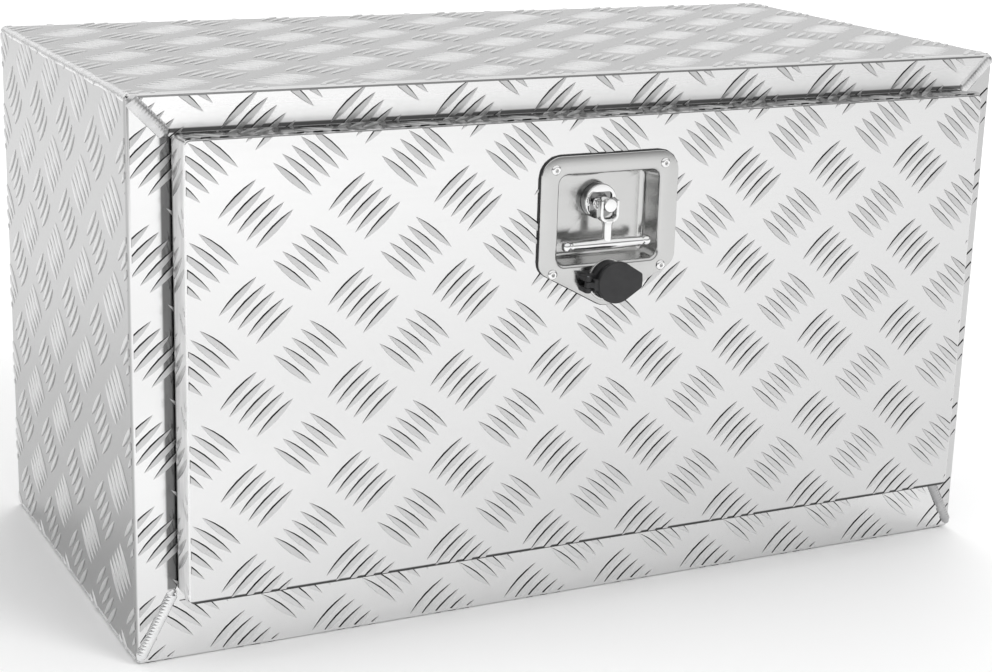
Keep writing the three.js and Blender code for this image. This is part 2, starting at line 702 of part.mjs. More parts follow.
// Hub: turns in the tray floor, holds the tee handle on a cross pin, and carries the cam inside the door.
function addHub() {
  const floorFront = trayFloorY - seatGap;
  const neckFrom = camFrontY;
  const neckTo = camRearY + camNutThickness + seatGap;
  const body = turned([
    [0, hubFrontY], [hubRadius - hubChamfer, hubFrontY], [hubRadius, hubFrontY + hubChamfer],
    [hubRadius, floorFront], [shaftRadius, floorFront], [shaftRadius, neckFrom - seatGap],
    [shaftNeckRadius, neckFrom - seatGap], [shaftNeckRadius, neckTo], [0, neckTo],
  ], discSides).translate(latchX, 0, hubHeight);
  const post = turned([
    [0, postFrontY], [postRadius - postChamfer, postFrontY], [postRadius, postFrontY + postChamfer],
    [postRadius, hubFrontY + hubChamfer], [0, hubFrontY + hubChamfer],
  ], holeSides).translate(latchX, 0, hubHeight);
  const bore = rod(pivotPinRadius + seatGap, -hubRadius, hubRadius, pinSides);
  bore.applyMatrix4(turnedToX).translate(latchX, pivotY, hubHeight);
  addPart('latch_hub', cut(joined(body, post), bore), stainless);

  const headFrom = postRadius + runningGap + cheekThickness + seatGap;
  const headTo = headFrom + pivotHeadThickness;
  const pivotPin = turned([
    [0, -headTo], [pivotHeadRadius, -headTo], [pivotHeadRadius, -headFrom], [pivotPinRadius, -headFrom],
    [pivotPinRadius, headFrom], [pivotHeadRadius, headFrom], [pivotHeadRadius, headTo], [0, headTo],
  ], pinSides).applyMatrix4(turnedToX).translate(latchX, pivotY, hubHeight);
  addPart('handle_pivot_pin', pivotPin, stainless);

  const bushFrom = trayFloorY + trayWall + seatGap;
  const bush = turned([
    [shaftRadius + seatGap, bushFrom], [bushRadius, bushFrom],
    [bushRadius, bushFrom + bushLength], [shaftRadius + seatGap, bushFrom + bushLength],
  ], holeSides).translate(latchX, 0, hubHeight);
  addPart('latch_bush', bush, zinc);

  const camOutline = rounded([
    [-camTailReach, -camHalfWidth / 2, camHalfWidth / 2], [0, -camHalfWidth * Math.SQRT2, camHalfWidth],
    [camReach, -camHalfWidth / 2, camHalfWidth / 2], [camReach, camHalfWidth / 2, camHalfWidth / 2],
    [0, camHalfWidth * Math.SQRT2, camHalfWidth], [-camTailReach, camHalfWidth / 2, camHalfWidth / 2],
  ]);
  const hole = circle(0, 0, shaftNeckRadius + seatGap, pinSides);
  const camGroup = new THREE.Group();
  camGroup.position.set(latchX, 0, hubHeight);
  camGroup.rotation.y = -THREE.MathUtils.degToRad(camRestAngle);
  addPart('latch_cam', frontPlate(camOutline, camFrontY, camRearY, [hole]), zinc, camGroup);
  toolBox.add(camGroup);
  const nut = frontPlate(
    circle(latchX, hubHeight, camNutRadius, nutSides), camRearY + seatGap, camRearY + camNutThickness,
    [circle(latchX, hubHeight, shaftNeckRadius + seatGap, pinSides)]);
  addPart('cam_nut', nut, zinc);

  const strikerLow = boxHeight - frameTop + strikerLowMargin;
  const striker = block(
    latchX - strikerHalfWidth, frontY + sheet, strikerLow,
    latchX + strikerHalfWidth, frontY + sheet + strikerThickness, boxHeight - strikerHighMargin);
  addPart('striker_plate', striker, stainless);
}

// Tee handle: a yoke over the hub's post, a stem and a cross bar, folded down into the tray at rest.
function addTeeHandle() {
  const cheekInner = postRadius + runningGap;
  const cheekOuter = cheekInner + cheekThickness;
  const softCorner = cheekThickness / 4;
  const slab = frontPlate(rounded([
    [-cheekOuter, -bridgeBottom, yokeCorner], [cheekOuter, -bridgeBottom, yokeCorner],
    [cheekOuter, yokeTop, softCorner], [-cheekOuter, yokeTop, softCorner],
  ]), -yokeReach, yokeDepth - yokeReach);
  const eyes = sidePlate(circle(0, 0, eyeRadius, holeSides), -cheekOuter, cheekOuter);
  const opening = frontPlate(rounded([
    [-cheekInner, -bridgeTop, yokeCorner / 2], [cheekInner, -bridgeTop, yokeCorner / 2],
    [cheekInner, eyeRadius + cutOverrun, softCorner], [-cheekInner, eyeRadius + cutOverrun, softCorner],
  ]), -yokeReach - cutOverrun, eyeRadius + cutOverrun);
  const bore = rod(pivotPinRadius + seatGap, -cheekOuter - cutOverrun, cheekOuter + cutOverrun, pinSides);
  const yoke = cut(joined(slab, eyes), opening, bore.applyMatrix4(turnedToX));
  const stem = rod(stemRadius, -teeReach, -(bridgeTop + bridgeBottom) / 2, pinSides);
  stem.applyMatrix4(facingSide).translate(0, -stemReach, 0);
  const shoulder = teeHalfLength - teeCollarLength;
  const bar = turned([
    [0, -teeHalfLength], [teeEndRadius * Math.SQRT1_2, -teeHalfLength],
    [teeEndRadius, -teeHalfLength + teeEndRadius / 3], [teeEndRadius, -shoulder],
    [teeEndRadius * Math.SQRT1_2, -shoulder], [teeRadius, -shoulder / 2],
    [teeRadius, shoulder / 2], [teeEndRadius * Math.SQRT1_2, shoulder], [teeEndRadius, shoulder],
    [teeEndRadius, teeHalfLength - teeEndRadius / 3],
    [teeEndRadius * Math.SQRT1_2, teeHalfLength], [0, teeHalfLength],
  ], pinSides).applyMatrix4(turnedToX).translate(0, -stemReach, -teeReach);
  const group = new THREE.Group();
  group.position.set(latchX, pivotY, hubHeight);
  addPart('tee_handle', joined(yoke, stem, bar), stainless, group);
  toolBox.add(group);
}

// Lock: a barrel through the point of the plate, its key plug with a tail, and a hinged weather cap.
function addLock() {
  const bezelFront = plateFrontY - bezelHeight;
  const barrelRear = camFrontY - seatGap;
  const boreRadius = plugRadius + plugGap;
  const housing = turned([
    [boreRadius, bezelFront], [bezelRadius, bezelFront], [bezelRadius, plateFrontY - seatGap],
    [barrelRadius, plateFrontY - seatGap], [barrelRadius, barrelRear], [boreRadius, barrelRear],
  ], discSides).translate(latchX, 0, lockHeight);
  addPart('lock_barrel', housing, zinc);

  const nutFrom = doorFrontY + sheet + seatGap;
  const nut = frontPlate(
    circle(latchX, lockHeight, lockNutRadius, nutSides), nutFrom, nutFrom + lockNutThickness,
    [circle(latchX, lockHeight, barrelRadius + seatGap, holeSides)]);
  addPart('lock_nut', nut, zinc);

  const plugFront = bezelFront + seatGap;
  const plug = rod(plugRadius, plugFront, camFrontY - seatGap, holeSides).translate(latchX, 0, lockHeight);
  const slot = block(
    latchX - keySlotWidth / 2, plugFront - cutOverrun, lockHeight - keySlotHeight / 2,
    latchX + keySlotWidth / 2, plugFront + keySlotDepth, lockHeight + keySlotHeight / 2);
  addPart('lock_plug', cut(plug, slot), zinc);

  const tailOutline = rounded([
    [latchX - lockTailReach, lockHeight - lockTailHalfWidth, lockTailHalfWidth / 2],
    [latchX + plugRadius, lockHeight - lockTailHalfWidth, lockTailHalfWidth / 2],
    [latchX + plugRadius, lockHeight + lockTailHalfWidth, lockTailHalfWidth / 2],
    [latchX - lockTailReach, lockHeight + lockTailHalfWidth, lockTailHalfWidth / 2],
  ]);
  addPart('lock_tail', frontPlate(tailOutline, camFrontY, camRearY), zinc);

  const collarFront = plateFrontY - seatGap - collarHeight;
  const collarInner = bezelRadius + seatGap;
  const capHingeY = collarFront - seatGap - capThickness / 2;
  const hingeX = latchX - capHingeOffset;
  const ring = turned([
    [collarInner, collarFront], [collarInner + collarWall, collarFront],
    [collarInner + collarWall, plateFrontY - seatGap], [collarInner, plateFrontY - seatGap],
  ], discSides).translate(latchX, 0, lockHeight);
  const lugs = [-1, 1].flatMap((level) => {
    const inner = lockHeight + level * (capKnuckleHalfHeight + runningGap);
    const outer = lockHeight + level * capHingeHalfHeight;
    const [low, high] = [Math.min(inner, outer), Math.max(inner, outer)];
    const barrelEnd = rod(capHingeRadius, low, high, pinSides).applyMatrix4(facingSide);
    barrelEnd.translate(hingeX, capHingeY, 0);
    const ear = block(
      hingeX - capHingeRadius, capHingeY, low, hingeX + capHingeRadius, collarFront + capHingeRadius, high);
    const arm = block(hingeX - capHingeRadius, collarFront, low, latchX, plateFrontY - seatGap, high);
    return [barrelEnd, ear, arm];
  });
  const pinHole = rod(capHingePinRadius + seatGap, 0, boxHeight, smallSides).applyMatrix4(facingSide);
  pinHole.translate(hingeX, capHingeY, 0);
  const boltHole = rod(collarInner, collarFront - cutOverrun, plateFrontY, discSides);
  boltHole.translate(latchX, 0, lockHeight);
  addPart('cap_collar', cut(joined(ring, ...lugs), pinHole, boltHole), rubber);
  const pin = rod(
    capHingePinRadius, lockHeight - capHingeHalfHeight, lockHeight + capHingeHalfHeight, smallSides);
  addPart('cap_hinge_pin', pin.applyMatrix4(facingSide).translate(hingeX, capHingeY, 0), zinc);

  const capFront = collarFront - seatGap - capThickness;
  const lean = Math.acos((capRadius - capTabHalfWidth) / capTabReach);
  const disc = circle(latchX, lockHeight, capRadius, capSides).filter((point) => {
    const angle = Math.atan2(point.y - lockHeight, point.x - latchX);
    return Math.abs(angle) > lean;
  });
  const tab = [-1, 1].map((level) => new THREE.Vector2(
    latchX + capTabReach, lockHeight + level * capTabHalfWidth));
  const face = frontPlate([...disc, ...tab], capFront, capFront + capThickness);
  const strap = block(
    hingeX, capFront + capThickness / 4, lockHeight - capKnuckleHalfHeight,
    latchX - capRadius * Math.SQRT1_2, capFront + capThickness, lockHeight + capKnuckleHalfHeight);
  const barrel = rod(
    capHingeRadius, lockHeight - capKnuckleHalfHeight, lockHeight + capKnuckleHalfHeight, pinSides);
  barrel.applyMatrix4(facingSide).translate(hingeX, capHingeY, 0);
  addPart('weather_cap', cut(joined(face, strap, barrel), pinHole), rubber);
}

addCabinetPanels();
addWelds();
addDoor();
addSeal();
addHinge();
addStay('left', -1);
addStay('right', 1);
addLatchPlate();
addHub();
addTeeHandle();
addLock();

export default toolBox;
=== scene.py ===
# %% [markdown]
# # A tread plate tool box with a folding tee latch
# This notebook dresses the tool box for a studio picture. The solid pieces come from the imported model, which
# fixes where everything is and what moves. Here each surface gets its real finish, and the pieces that a
# plain solid can't show get a finer mesh: raised tread bars, rippled welds, the pressed latch plate and the
# turned handle. All lengths are in metres.

# %% Load the frame
import bpy
import bmesh
import json
import math
from mathutils import Matrix, Vector


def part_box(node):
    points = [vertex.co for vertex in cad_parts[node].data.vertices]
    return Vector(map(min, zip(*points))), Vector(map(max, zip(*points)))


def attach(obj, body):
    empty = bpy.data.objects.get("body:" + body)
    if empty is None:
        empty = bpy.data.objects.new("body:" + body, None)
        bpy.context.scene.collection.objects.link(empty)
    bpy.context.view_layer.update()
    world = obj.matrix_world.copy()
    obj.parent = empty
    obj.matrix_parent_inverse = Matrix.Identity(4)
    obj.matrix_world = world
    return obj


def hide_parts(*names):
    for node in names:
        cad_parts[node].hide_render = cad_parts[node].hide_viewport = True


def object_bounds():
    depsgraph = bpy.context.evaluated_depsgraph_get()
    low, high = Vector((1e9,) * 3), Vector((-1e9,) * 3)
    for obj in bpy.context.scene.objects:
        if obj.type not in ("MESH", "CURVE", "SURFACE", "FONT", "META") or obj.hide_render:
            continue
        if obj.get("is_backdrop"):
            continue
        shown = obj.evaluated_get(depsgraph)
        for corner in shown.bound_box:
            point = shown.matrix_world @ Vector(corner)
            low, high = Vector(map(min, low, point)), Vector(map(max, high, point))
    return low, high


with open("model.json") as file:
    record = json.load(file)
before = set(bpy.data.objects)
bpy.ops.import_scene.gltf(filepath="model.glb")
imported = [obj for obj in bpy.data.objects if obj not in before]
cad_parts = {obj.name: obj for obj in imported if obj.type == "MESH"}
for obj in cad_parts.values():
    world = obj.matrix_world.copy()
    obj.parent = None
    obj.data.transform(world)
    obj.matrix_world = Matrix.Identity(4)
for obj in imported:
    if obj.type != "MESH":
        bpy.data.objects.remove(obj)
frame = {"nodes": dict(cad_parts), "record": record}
cad_low, cad_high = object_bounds()
MM = 0.001
RIGHT, LEFT, INTO, OUT, UP = (1, 0, 0), (-1, 0, 0), (0, 1, 0), (0, -1, 0), (0, 0, 1)
print("solid box in mm:", [round(v / MM, 1) for v in (*cad_low, *cad_high)])

# %% [markdown]
# ## The camera
# The picture is taken a little above the lid, from the left of the door, with a long lens. The three unit
# vectors were worked out from the corners of the cabinet, so the box falls where it should in the picture.

# %% Camera
def put_in_scene(name, data):
    thing = bpy.data.objects.new(name, data)
    bpy.context.scene.collection.objects.link(thing)
    return thing


camera = put_in_scene("camera", bpy.data.cameras.new("camera"))
camera.data.sensor_width = 36.0
camera.data.lens = 73.178
to_right = Vector((0.896899, -0.441334, 0.028208))
to_down = Vector((-0.097206, -0.258968, -0.960982))
ahead = Vector((0.431419, 0.859162, -0.275168))
camera.matrix_world = Matrix.Translation((-0.76879, -1.54268, 0.66280)) @ Matrix(
    (to_right, -to_down, -ahead)).transposed().to_4x4()
camera.data.clip_start, camera.data.clip_end = 0.05, 60.0
bpy.context.scene.camera = camera
bpy.context.scene.view_settings.view_transform = "Standard"
print("camera height in mm:", round(camera.location.z / MM))

# %% [markdown]
# ## Building finishes from nodes
# Every finish below starts from Blender's Principled shader and adds its own variation. A few helpers keep
# the graphs short: one makes a noise pattern that can be stretched into brush lines, one tells how far along
# its piece a point is, one maps a value to a range, one mixes two colours, and one turns a pattern into small
# bumps. Patterns and places use object coordinates, so they stay on a piece when it moves.

# %% Finish helpers
def start_finish(name):
    material = bpy.data.materials.new(name)
    material.use_nodes = True
    return material, material.node_tree


def pattern(tree, scale, stretch=(1, 1, 1), detail=4.0):
    where = tree.nodes.new("ShaderNodeTexCoord")
    mapping = tree.nodes.new("ShaderNodeMapping")
    mapping.inputs["Scale"].default_value = stretch
    noise = tree.nodes.new("ShaderNodeTexNoise")
    noise.inputs["Scale"].default_value = scale
    noise.inputs["Detail"].default_value = detail
    tree.links.new(where.outputs["Object"], mapping.inputs["Vector"])
    tree.links.new(mapping.outputs["Vector"], noise.inputs["Vector"])
    return noise.outputs["Fac"]


def ranged(tree, value, low, high, start=0.3, end=0.7):
    """Low where the value is start, high where it is end. Noise hardly leaves the range from 0.3 to 0.7."""
    node = tree.nodes.new("ShaderNodeMapRange")
    node.inputs["From Min"].default_value = start
    node.inputs["From Max"].default_value = end
    node.inputs["To Min"].default_value = low
    node.inputs["To Max"].default_value = high
    tree.links.new(value, node.inputs["Value"])
    return node.outputs["Result"]


def share(tree, value, start=0.3, end=0.7):
    """0 where the value is start, 1 where it is end."""
    return ranged(tree, value, 0.0, 1.0, start, end)


def mixed(tree, factor, first, second):
    """A mix of two colours, each of them a socket, a colour or a single grey."""
    node = tree.nodes.new("ShaderNodeMix")
    node.data_type = "RGBA"
    for value, socket in ((first, node.inputs[6]), (second, node.inputs[7])):
        if isinstance(value, float):
            value = (value, value, value)
        if isinstance(value, tuple):
            socket.default_value = (*value, 1.0)
        else:
            tree.links.new(value, socket)
    tree.links.new(factor, node.inputs[0])
    return node.outputs[2]


def bumped(tree, height, distance, strength=1.0, under=None):
    node = tree.nodes.new("ShaderNodeBump")
    node.inputs["Distance"].default_value = distance
    node.inputs["Strength"].default_value = strength
    tree.links.new(height, node.inputs["Height"])
    if under is not None:
        tree.links.new(under, node.inputs["Normal"])
    return node.outputs["Normal"]


def calculated(tree, operation, *values):
    node = tree.nodes.new("ShaderNodeMath")
    node.operation = operation
    for value, socket in zip(values, node.inputs):
        tree.links.new(value, socket)
    return node.outputs["Value"]


def inside_all(tree, first, *shares):
    """The product of some shares: 1 only where each of them is 1."""
    for more in shares:
        first = calculated(tree, "MULTIPLY", first, more)
    return first


def placed(tree, axis, absolute=False):
    """How far a point is along one axis of its piece."""
    where = tree.nodes.new("ShaderNodeTexCoord")
    split = tree.nodes.new("ShaderNodeSeparateXYZ")
    tree.links.new(where.outputs["Object"], split.inputs["Vector"])
    distance = split.outputs[axis]
    return calculated(tree, "ABSOLUTE", distance) if absolute else distance


def marked(tree, name):
    node = tree.nodes.new("ShaderNodeAttribute")
    node.attribute_name = name
    return node.outputs["Fac"]


def wired(material, colour, roughness, normal, metallic=1.0):
    """The material, with these joined to its shader. metallic is a number or a socket."""
    links, inputs = material.node_tree.links, material.node_tree.nodes["Principled BSDF"].inputs
    links.new(colour, inputs["Base Color"])
    links.new(roughness, inputs["Roughness"])
    links.new(normal, inputs["Normal"])
    if isinstance(metallic, float):
        inputs["Metallic"].default_value = metallic
    else:
        links.new(metallic, inputs["Metallic"])
    return material

# %% [markdown]
# ## Sheet, bars and welds
# Tread plate is rolled aluminium: nearly a mirror between the bars, but with faint cloudiness and fine lines
# from the rolls. A mirror would show the studio alone, so the greys of each sheet are painted by place, as
# painted light and shade: each face has its own grey, several fade from left to right, the face of the door
# and the big end faces are darker low down, and painted shade darkens the frame beside and above the door, the
# door's top return, its rim and a line under its lower fold. The narrow sides of the door are ground dull. The
# bars have greys of their own on each face, also painted light, with patchy wear on their crowns. Their mesh
# carries a value that is 1 on the crown, less at the tips and the lower foot, and 0 along the upper foot,
# where the finish paints a dark line of shade.

# %% Where the greys of a sheet depend on the place
DOOR_SIDE_X, DOOR_TOP_Z, DOOR_FOOT_Z = 0.3475, 0.4030, 0.0580
BESIDE_DOOR_X, ABOVE_DOOR_Z = 0.3568, 0.4068
END_FACE_X, TOP_FACE_Z = (0.3790, 0.3802), (0.4305, 0.4318)


def fading(tree, left, right):
    """A grey that fades from the left end of the box to the right end, as painted light."""
    return mixed(tree, share(tree, placed(tree, "X"), -0.34, 0.36), left, right)


def cloudy(tree, dull, bright):
    return mixed(tree, pattern(tree, 7.0, detail=3.0), dull, bright)


def end_colour(tree):
    """Painted shade: darker on the big face than on the frame, darkest low down, and dark beside the door."""
    sideways, height = placed(tree, "X", absolute=True), placed(tree, "Z")
    face = mixed(tree, share(tree, height, 0.05, 0.38), 0.36, 0.49)
    outside_shade_band = mixed(tree, share(tree, sideways, *END_FACE_X), fading(tree, 0.79, 0.57), face)
    # The band beside the door is painted shade, streaked by noise.
    beside_door = inside_all(
        tree, share(tree, sideways, DOOR_SIDE_X, 0.3479), share(tree, sideways, BESIDE_DOOR_X, 0.3555),
        share(tree, height, 0.0560, DOOR_FOOT_Z), share(tree, height, 0.4045, 0.4020))
    band_shade = mixed(tree, pattern(tree, 90.0, stretch=(1, 1, 0.15)), 0.16, 0.29)
    return mixed(tree, beside_door, outside_shade_band, band_shade)


def top_colour(tree):
    """Painted shade: darker on top than on the flange, and a dark line above the door."""
    height = placed(tree, "Z")
    outside_shade_band = mixed(tree, share(tree, height, *TOP_FACE_Z), fading(tree, 0.86, 0.70), cloudy(tree, 0.72, 0.77))
    above_door = inside_all(
        tree, share(tree, height, DOOR_TOP_Z, 0.4034), share(tree, height, ABOVE_DOOR_Z, 0.4058),
        share(tree, placed(tree, "Y"), -0.1842, -0.1846))
    return mixed(tree, above_door, outside_shade_band, 0.10)


def top_metal(tree):
    """Less metallic low on the flange, where it would mirror the dark return of the door."""
    return ranged(tree, placed(tree, "Z"), 0.15, 1.0, 0.4100, 0.4260)


def on_door_side(tree):
    return share(tree, placed(tree, "X", absolute=True), 0.3474, 0.3481)


def door_colour(tree):
    """Painted shade on the face, the rim, the top return and under the fold; the narrow sides are ground."""
    height = placed(tree, "Z")
    # The face is painted darker low down and to the right, as painted shade.
    face = mixed(tree, share(tree, height, 0.12, 0.38), fading(tree, 0.73, 0.62), fading(tree, 0.805, 0.735))
    scratch = pattern(tree, 160.0, stretch=(1, 1, 0.25), detail=6.0)
    ground = mixed(tree, share(tree, scratch), 0.78, 0.97)
    # The back of each narrow side, at the rim, is painted dark as shade.
    ground = mixed(tree, share(tree, placed(tree, "Y"), -0.1905, -0.1890), ground, 0.34)
    # The top return gets mottled painted shade.
    painted_shade = mixed(tree, share(tree, scratch, 0.45, 0.62), 0.12, 0.55)
    face = mixed(tree, share(tree, height, 0.4026, 0.4032), face, painted_shade)
    above_fold = mixed(tree, on_door_side(tree), face, ground)
    # A dark line of painted shadow runs under the lower fold.
    return mixed(tree, share(tree, height, DOOR_FOOT_Z, 0.0572), above_fold, 0.07)


def door_roughness(tree, roughness):
    return mixed(tree, on_door_side(tree), roughness, 0.5)


def door_metal(tree):
    return ranged(tree, on_door_side(tree), 1.0, 0.05, 0.0, 1.0)


print("dark band beside the door in mm:", round((BESIDE_DOOR_X - DOOR_SIDE_X) / MM, 1))

# %% Aluminium finishes
def rolled_sheet(name, colour_of, roughness_of=None, metal_of=None):
    """Rolled sheet. colour_of and metal_of take the tree, roughness_of also the bare sheet's roughness."""
    material, tree = start_finish(name)
    lines = pattern(tree, 60.0, stretch=(0.25, 4, 9), detail=6.0)
    grain = pattern(tree, 1400.0, detail=2.0)
    roughness = ranged(tree, lines, 0.12, 0.18)
    if roughness_of:
        roughness = roughness_of(tree, roughness)
    normal = bumped(tree, grain, 0.00002, 0.4, bumped(tree, lines, 0.00006, 0.15))
    return wired(material, colour_of(tree), roughness, normal, metal_of(tree) if metal_of else 1.0)


def tread_bar(name, dull, bright, shade_grey):
    material, tree = start_finish(name)
    rub = pattern(tree, 220.0, detail=5.0)
    grain = pattern(tree, 2600.0, detail=2.0)
    # Where the mesh value is low, along the upper foot, the last grey paints a dark line of shade.
    colour = mixed(tree, share(tree, marked(tree, "outside_shade_band"), 0.78, 0.95), shade_grey, mixed(tree, rub, dull, bright))
    return wired(material, colour, ranged(tree, rub, 0.26, 0.38), bumped(tree, grain, 0.00003, 0.5))


def weld_bead():
    """On the mitres grey near the top, bright at the left foot and dark at the right foot. On edges pale."""
    material, tree = start_finish("weld_bead")
    soot = pattern(tree, 90.0, detail=5.0)
    grain = pattern(tree, 900.0)
    # The mitre greys are painted light and shade on one weld metal: grey high up, bright low left, dark low
    # right.
    high_up = mixed(tree, share(tree, soot), (0.56, 0.56, 0.565), 0.74)
    low_left = mixed(tree, share(tree, soot), (0.82, 0.823, 0.83), 0.94)
    low_right = mixed(tree, share(tree, soot), (0.38, 0.38, 0.385), 0.50)
    low_down = mixed(tree, share(tree, placed(tree, "X"), -0.30, 0.34), low_left, low_right)
    mitre = mixed(tree, share(tree, placed(tree, "Z"), 0.10, 0.38), low_down, high_up)
    edge = mixed(tree, share(tree, soot), (0.77, 0.77, 0.775), 0.92)
    colour = mixed(tree, share(tree, placed(tree, "Y"), -0.1845, -0.1825), mitre, edge)
    return wired(material, colour, ranged(tree, soot, 0.18, 0.32), bumped(tree, grain, 0.00006, 0.6))


# Each face of the one aluminium gets its own grey, as painted light and shade.
sheet_finish = rolled_sheet("rolled_sheet", lambda tree: cloudy(tree, 0.772, 0.80))
end_finish = rolled_sheet("end_sheet", end_colour)
top_finish = rolled_sheet("top_sheet", top_colour, metal_of=top_metal)
foot_finish = rolled_sheet("foot_sheet", lambda tree: fading(tree, 0.80, 0.72))
door_finish = rolled_sheet("door_sheet", door_colour, door_roughness, door_metal)
# Each face's bars get their own greys, as painted light and shade, brightest on top.
bar_finish = tread_bar("tread_bar", 0.54, 0.66, 0.025)
foot_bar_finish = tread_bar("foot_bar", 0.66, 0.78, 0.025)
top_bar_finish = tread_bar("top_bar_painted_bright", 0.94, 1.0, 0.72)
end_bar_finish = tread_bar("end_bar", 0.68, 0.78, 0.52)
weld_finish = weld_bead()
print("aluminium finishes:", len(bpy.data.materials))

# %% [markdown]
# ## Steel and rubber
# The latch is stainless: the plate has a soft satin face, and the turned parts are polished. The parts inside
# the door are zinc plated, which shows as a patchy grey with a trace of blue and yellow. Rubber is matt and
# nearly black, paler where it has been handled.

# %% Steel and rubber finishes
def satin_stainless():
    material, tree = start_finish("satin_stainless")
    brush = pattern(tree, 900.0, stretch=(0.05, 1, 1))
    colour = mixed(tree, pattern(tree, 30.0, detail=3.0), (0.565, 0.565, 0.56), (0.61, 0.61, 0.605))
    return wired(material, colour, ranged(tree, brush, 0.15, 0.21), bumped(tree, brush, 0.00001, 0.15))


def polished_steel(name, dull, bright):
    material, tree = start_finish(name)
    smear = pattern(tree, 120.0)
    colour = mixed(tree, smear, dull, bright)
    return wired(material, colour, ranged(tree, smear, 0.07, 0.16), bumped(tree, smear, 0.00005, 0.15))


def zinc_plate():
    material, tree = start_finish("zinc_plate")
    patch = pattern(tree, 70.0, detail=5.0)
    spangle = pattern(tree, 420.0, detail=2.0)
    colour = mixed(tree, share(tree, patch), (0.60, 0.63, 0.68), (0.74, 0.72, 0.66))
    return wired(material, colour, ranged(tree, spangle, 0.28, 0.45), bumped(tree, spangle, 0.00004, 0.4))


def black_rubber():
    material, tree = start_finish("matt_rubber")
    wear = pattern(tree, 160.0, detail=6.0)
    grain = pattern(tree, 1800.0, detail=2.0)
    colour = mixed(tree, share(tree, wear), (0.015, 0.015, 0.016), (0.030, 0.030, 0.031))
    return wired(material, colour, ranged(tree, wear, 0.52, 0.70), bumped(tree, grain, 0.00005, 0.5), 0.0)


satin_finish = satin_stainless()
polished_finish = polished_steel("polished_steel", 0.82, 0.90)
# A dark copy of the polished steel, used to paint shade on the hub.
shaded_finish = polished_steel("painted_shade_steel", 0.22, 0.32)
zinc_finish = zinc_plate()
rubber_finish = black_rubber()
print("finishes so far:", len(bpy.data.materials))

# %% [markdown]
# ## Dressing the solids
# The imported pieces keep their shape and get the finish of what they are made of. A weld modifier closes the
# seams of the imported mesh and a bevel softens its edges, because no real edge is perfectly sharp and a soft
# edge is what catches the light. On a sheet the flat triangles are joined into whole faces first, because
# polished metal shows the faintest line between two triangles.

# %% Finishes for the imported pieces
FINISHES = {
    "tread_aluminium": sheet_finish, "weld_metal": weld_finish, "stainless": satin_finish,
    "zinc_steel": zinc_finish, "black_rubber": rubber_finish,
}
SLOTS = {row["node"]: row["material_slot"] for row in frame["record"]["subparts"]}
OWN_FINISHES = {
    "left_end_panel": end_finish, "right_end_panel": end_finish, "door_skin": door_finish,
    "top_panel": top_finish, "bottom_panel": foot_finish, "hinge_pin": polished_finish,
}


def dress(node):
    piece = frame["nodes"][node]
    sheet_like = node.endswith("_panel") or node == "door_skin"
    piece.data.materials.clear()
    piece.data.materials.append(OWN_FINISHES.get(node, FINISHES[SLOTS[node]]))
    join = piece.modifiers.new("close seams", "WELD")
    join.merge_threshold = 0.00001
    if sheet_like:
        flatten = piece.modifiers.new("whole faces", "DECIMATE")
        flatten.decimate_type = "DISSOLVE"
        flatten.angle_limit = math.radians(0.5)
    bevel = piece.modifiers.new("soft edges", "BEVEL")
    bevel.width = 0.0003 if sheet_like or "weld" in node else 0.00025
    bevel.segments = 2
    bevel.limit_method = "ANGLE"
    bevel.angle_limit = math.radians(40)
    bevel.harden_normals = sheet_like


for node in frame["nodes"]:
    dress(node)
print("dressed", len(frame["nodes"]), "packed pieces")

# %% [markdown]
# ## Making new meshes
# New pieces come from lists of points and faces. The helpers below turn all the faces outwards, set smooth
# shading with sharp creases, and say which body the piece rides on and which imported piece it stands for.
# Most shapes are skinned: rings of equal counts of points are laid along the shape and joined by faces.

# %% Mesh helpers
def closed_mesh(name, points, faces):
    mesh = bpy.data.meshes.new(name)
    mesh.from_pydata([tuple(p) for p in points], [], faces)
    build = bmesh.new()
    build.from_mesh(mesh)
    bmesh.ops.remove_doubles(build, verts=build.verts, dist=1e-7)
    bmesh.ops.recalc_face_normals(build, faces=build.faces)
    build.to_mesh(mesh)
    build.free()
    return mesh


def add_piece(name, mesh, finish, body, stands_for=(), slot=None, crease=35.0):
    mesh.shade_smooth()
    mesh.set_sharp_from_angle(angle=math.radians(crease))
    mesh.materials.append(finish)
    piece = put_in_scene(name, mesh)
    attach(piece, body)
    if stands_for:
        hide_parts(*stands_for)
    return piece


def make_piece(name, points, faces, *about, crease=35.0):
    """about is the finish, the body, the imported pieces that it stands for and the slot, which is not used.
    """
    return add_piece(name, closed_mesh(name, points, faces), *about, crease=crease)


def skin_rings(rings, closed_ends=True, looped=False):
    """Faces over rings of equal counts. looped joins the last ring to the first."""
    count = len(rings[0])
    points = [p for ring in rings for p in ring]
    faces = []
    for ring in range(len(rings) if looped else len(rings) - 1):
        start, after = ring * count, ((ring + 1) % len(rings)) * count
        for place in range(count):
            beside = (place + 1) % count
            faces.append((start + place, start + beside, after + beside, after + place))
    if closed_ends and not looped:
        faces.append(tuple(range(count)))
        faces.append(tuple(range(len(points) - count, len(points))))
    return points, faces


def rounded_outline(corners, steps=6):
    """Points round an outline whose corners are (x, z, radius)."""
    points = []
    for place, (x, z, radius) in enumerate(corners):
        here = Vector((x, z))
        before = (Vector(corners[place - 1][:2]) - here).normalized()
        after = (Vector(corners[(place + 1) % len(corners)][:2]) - here).normalized()
        half = before.angle(after) / 2
        centre = here + (before + after).normalized() * (radius / math.sin(half))
        reach = radius / math.tan(half)
        first, last = here + before * reach - centre, here + after * reach - centre
        start = math.atan2(first.y, first.x)
        sweep = (math.atan2(last.y, last.x) - start + math.pi) % (2 * math.pi) - math.pi
        for step in range(steps + 1):
            angle = start + sweep * step / steps
            points.append(centre + heading(angle) * radius)
    return points


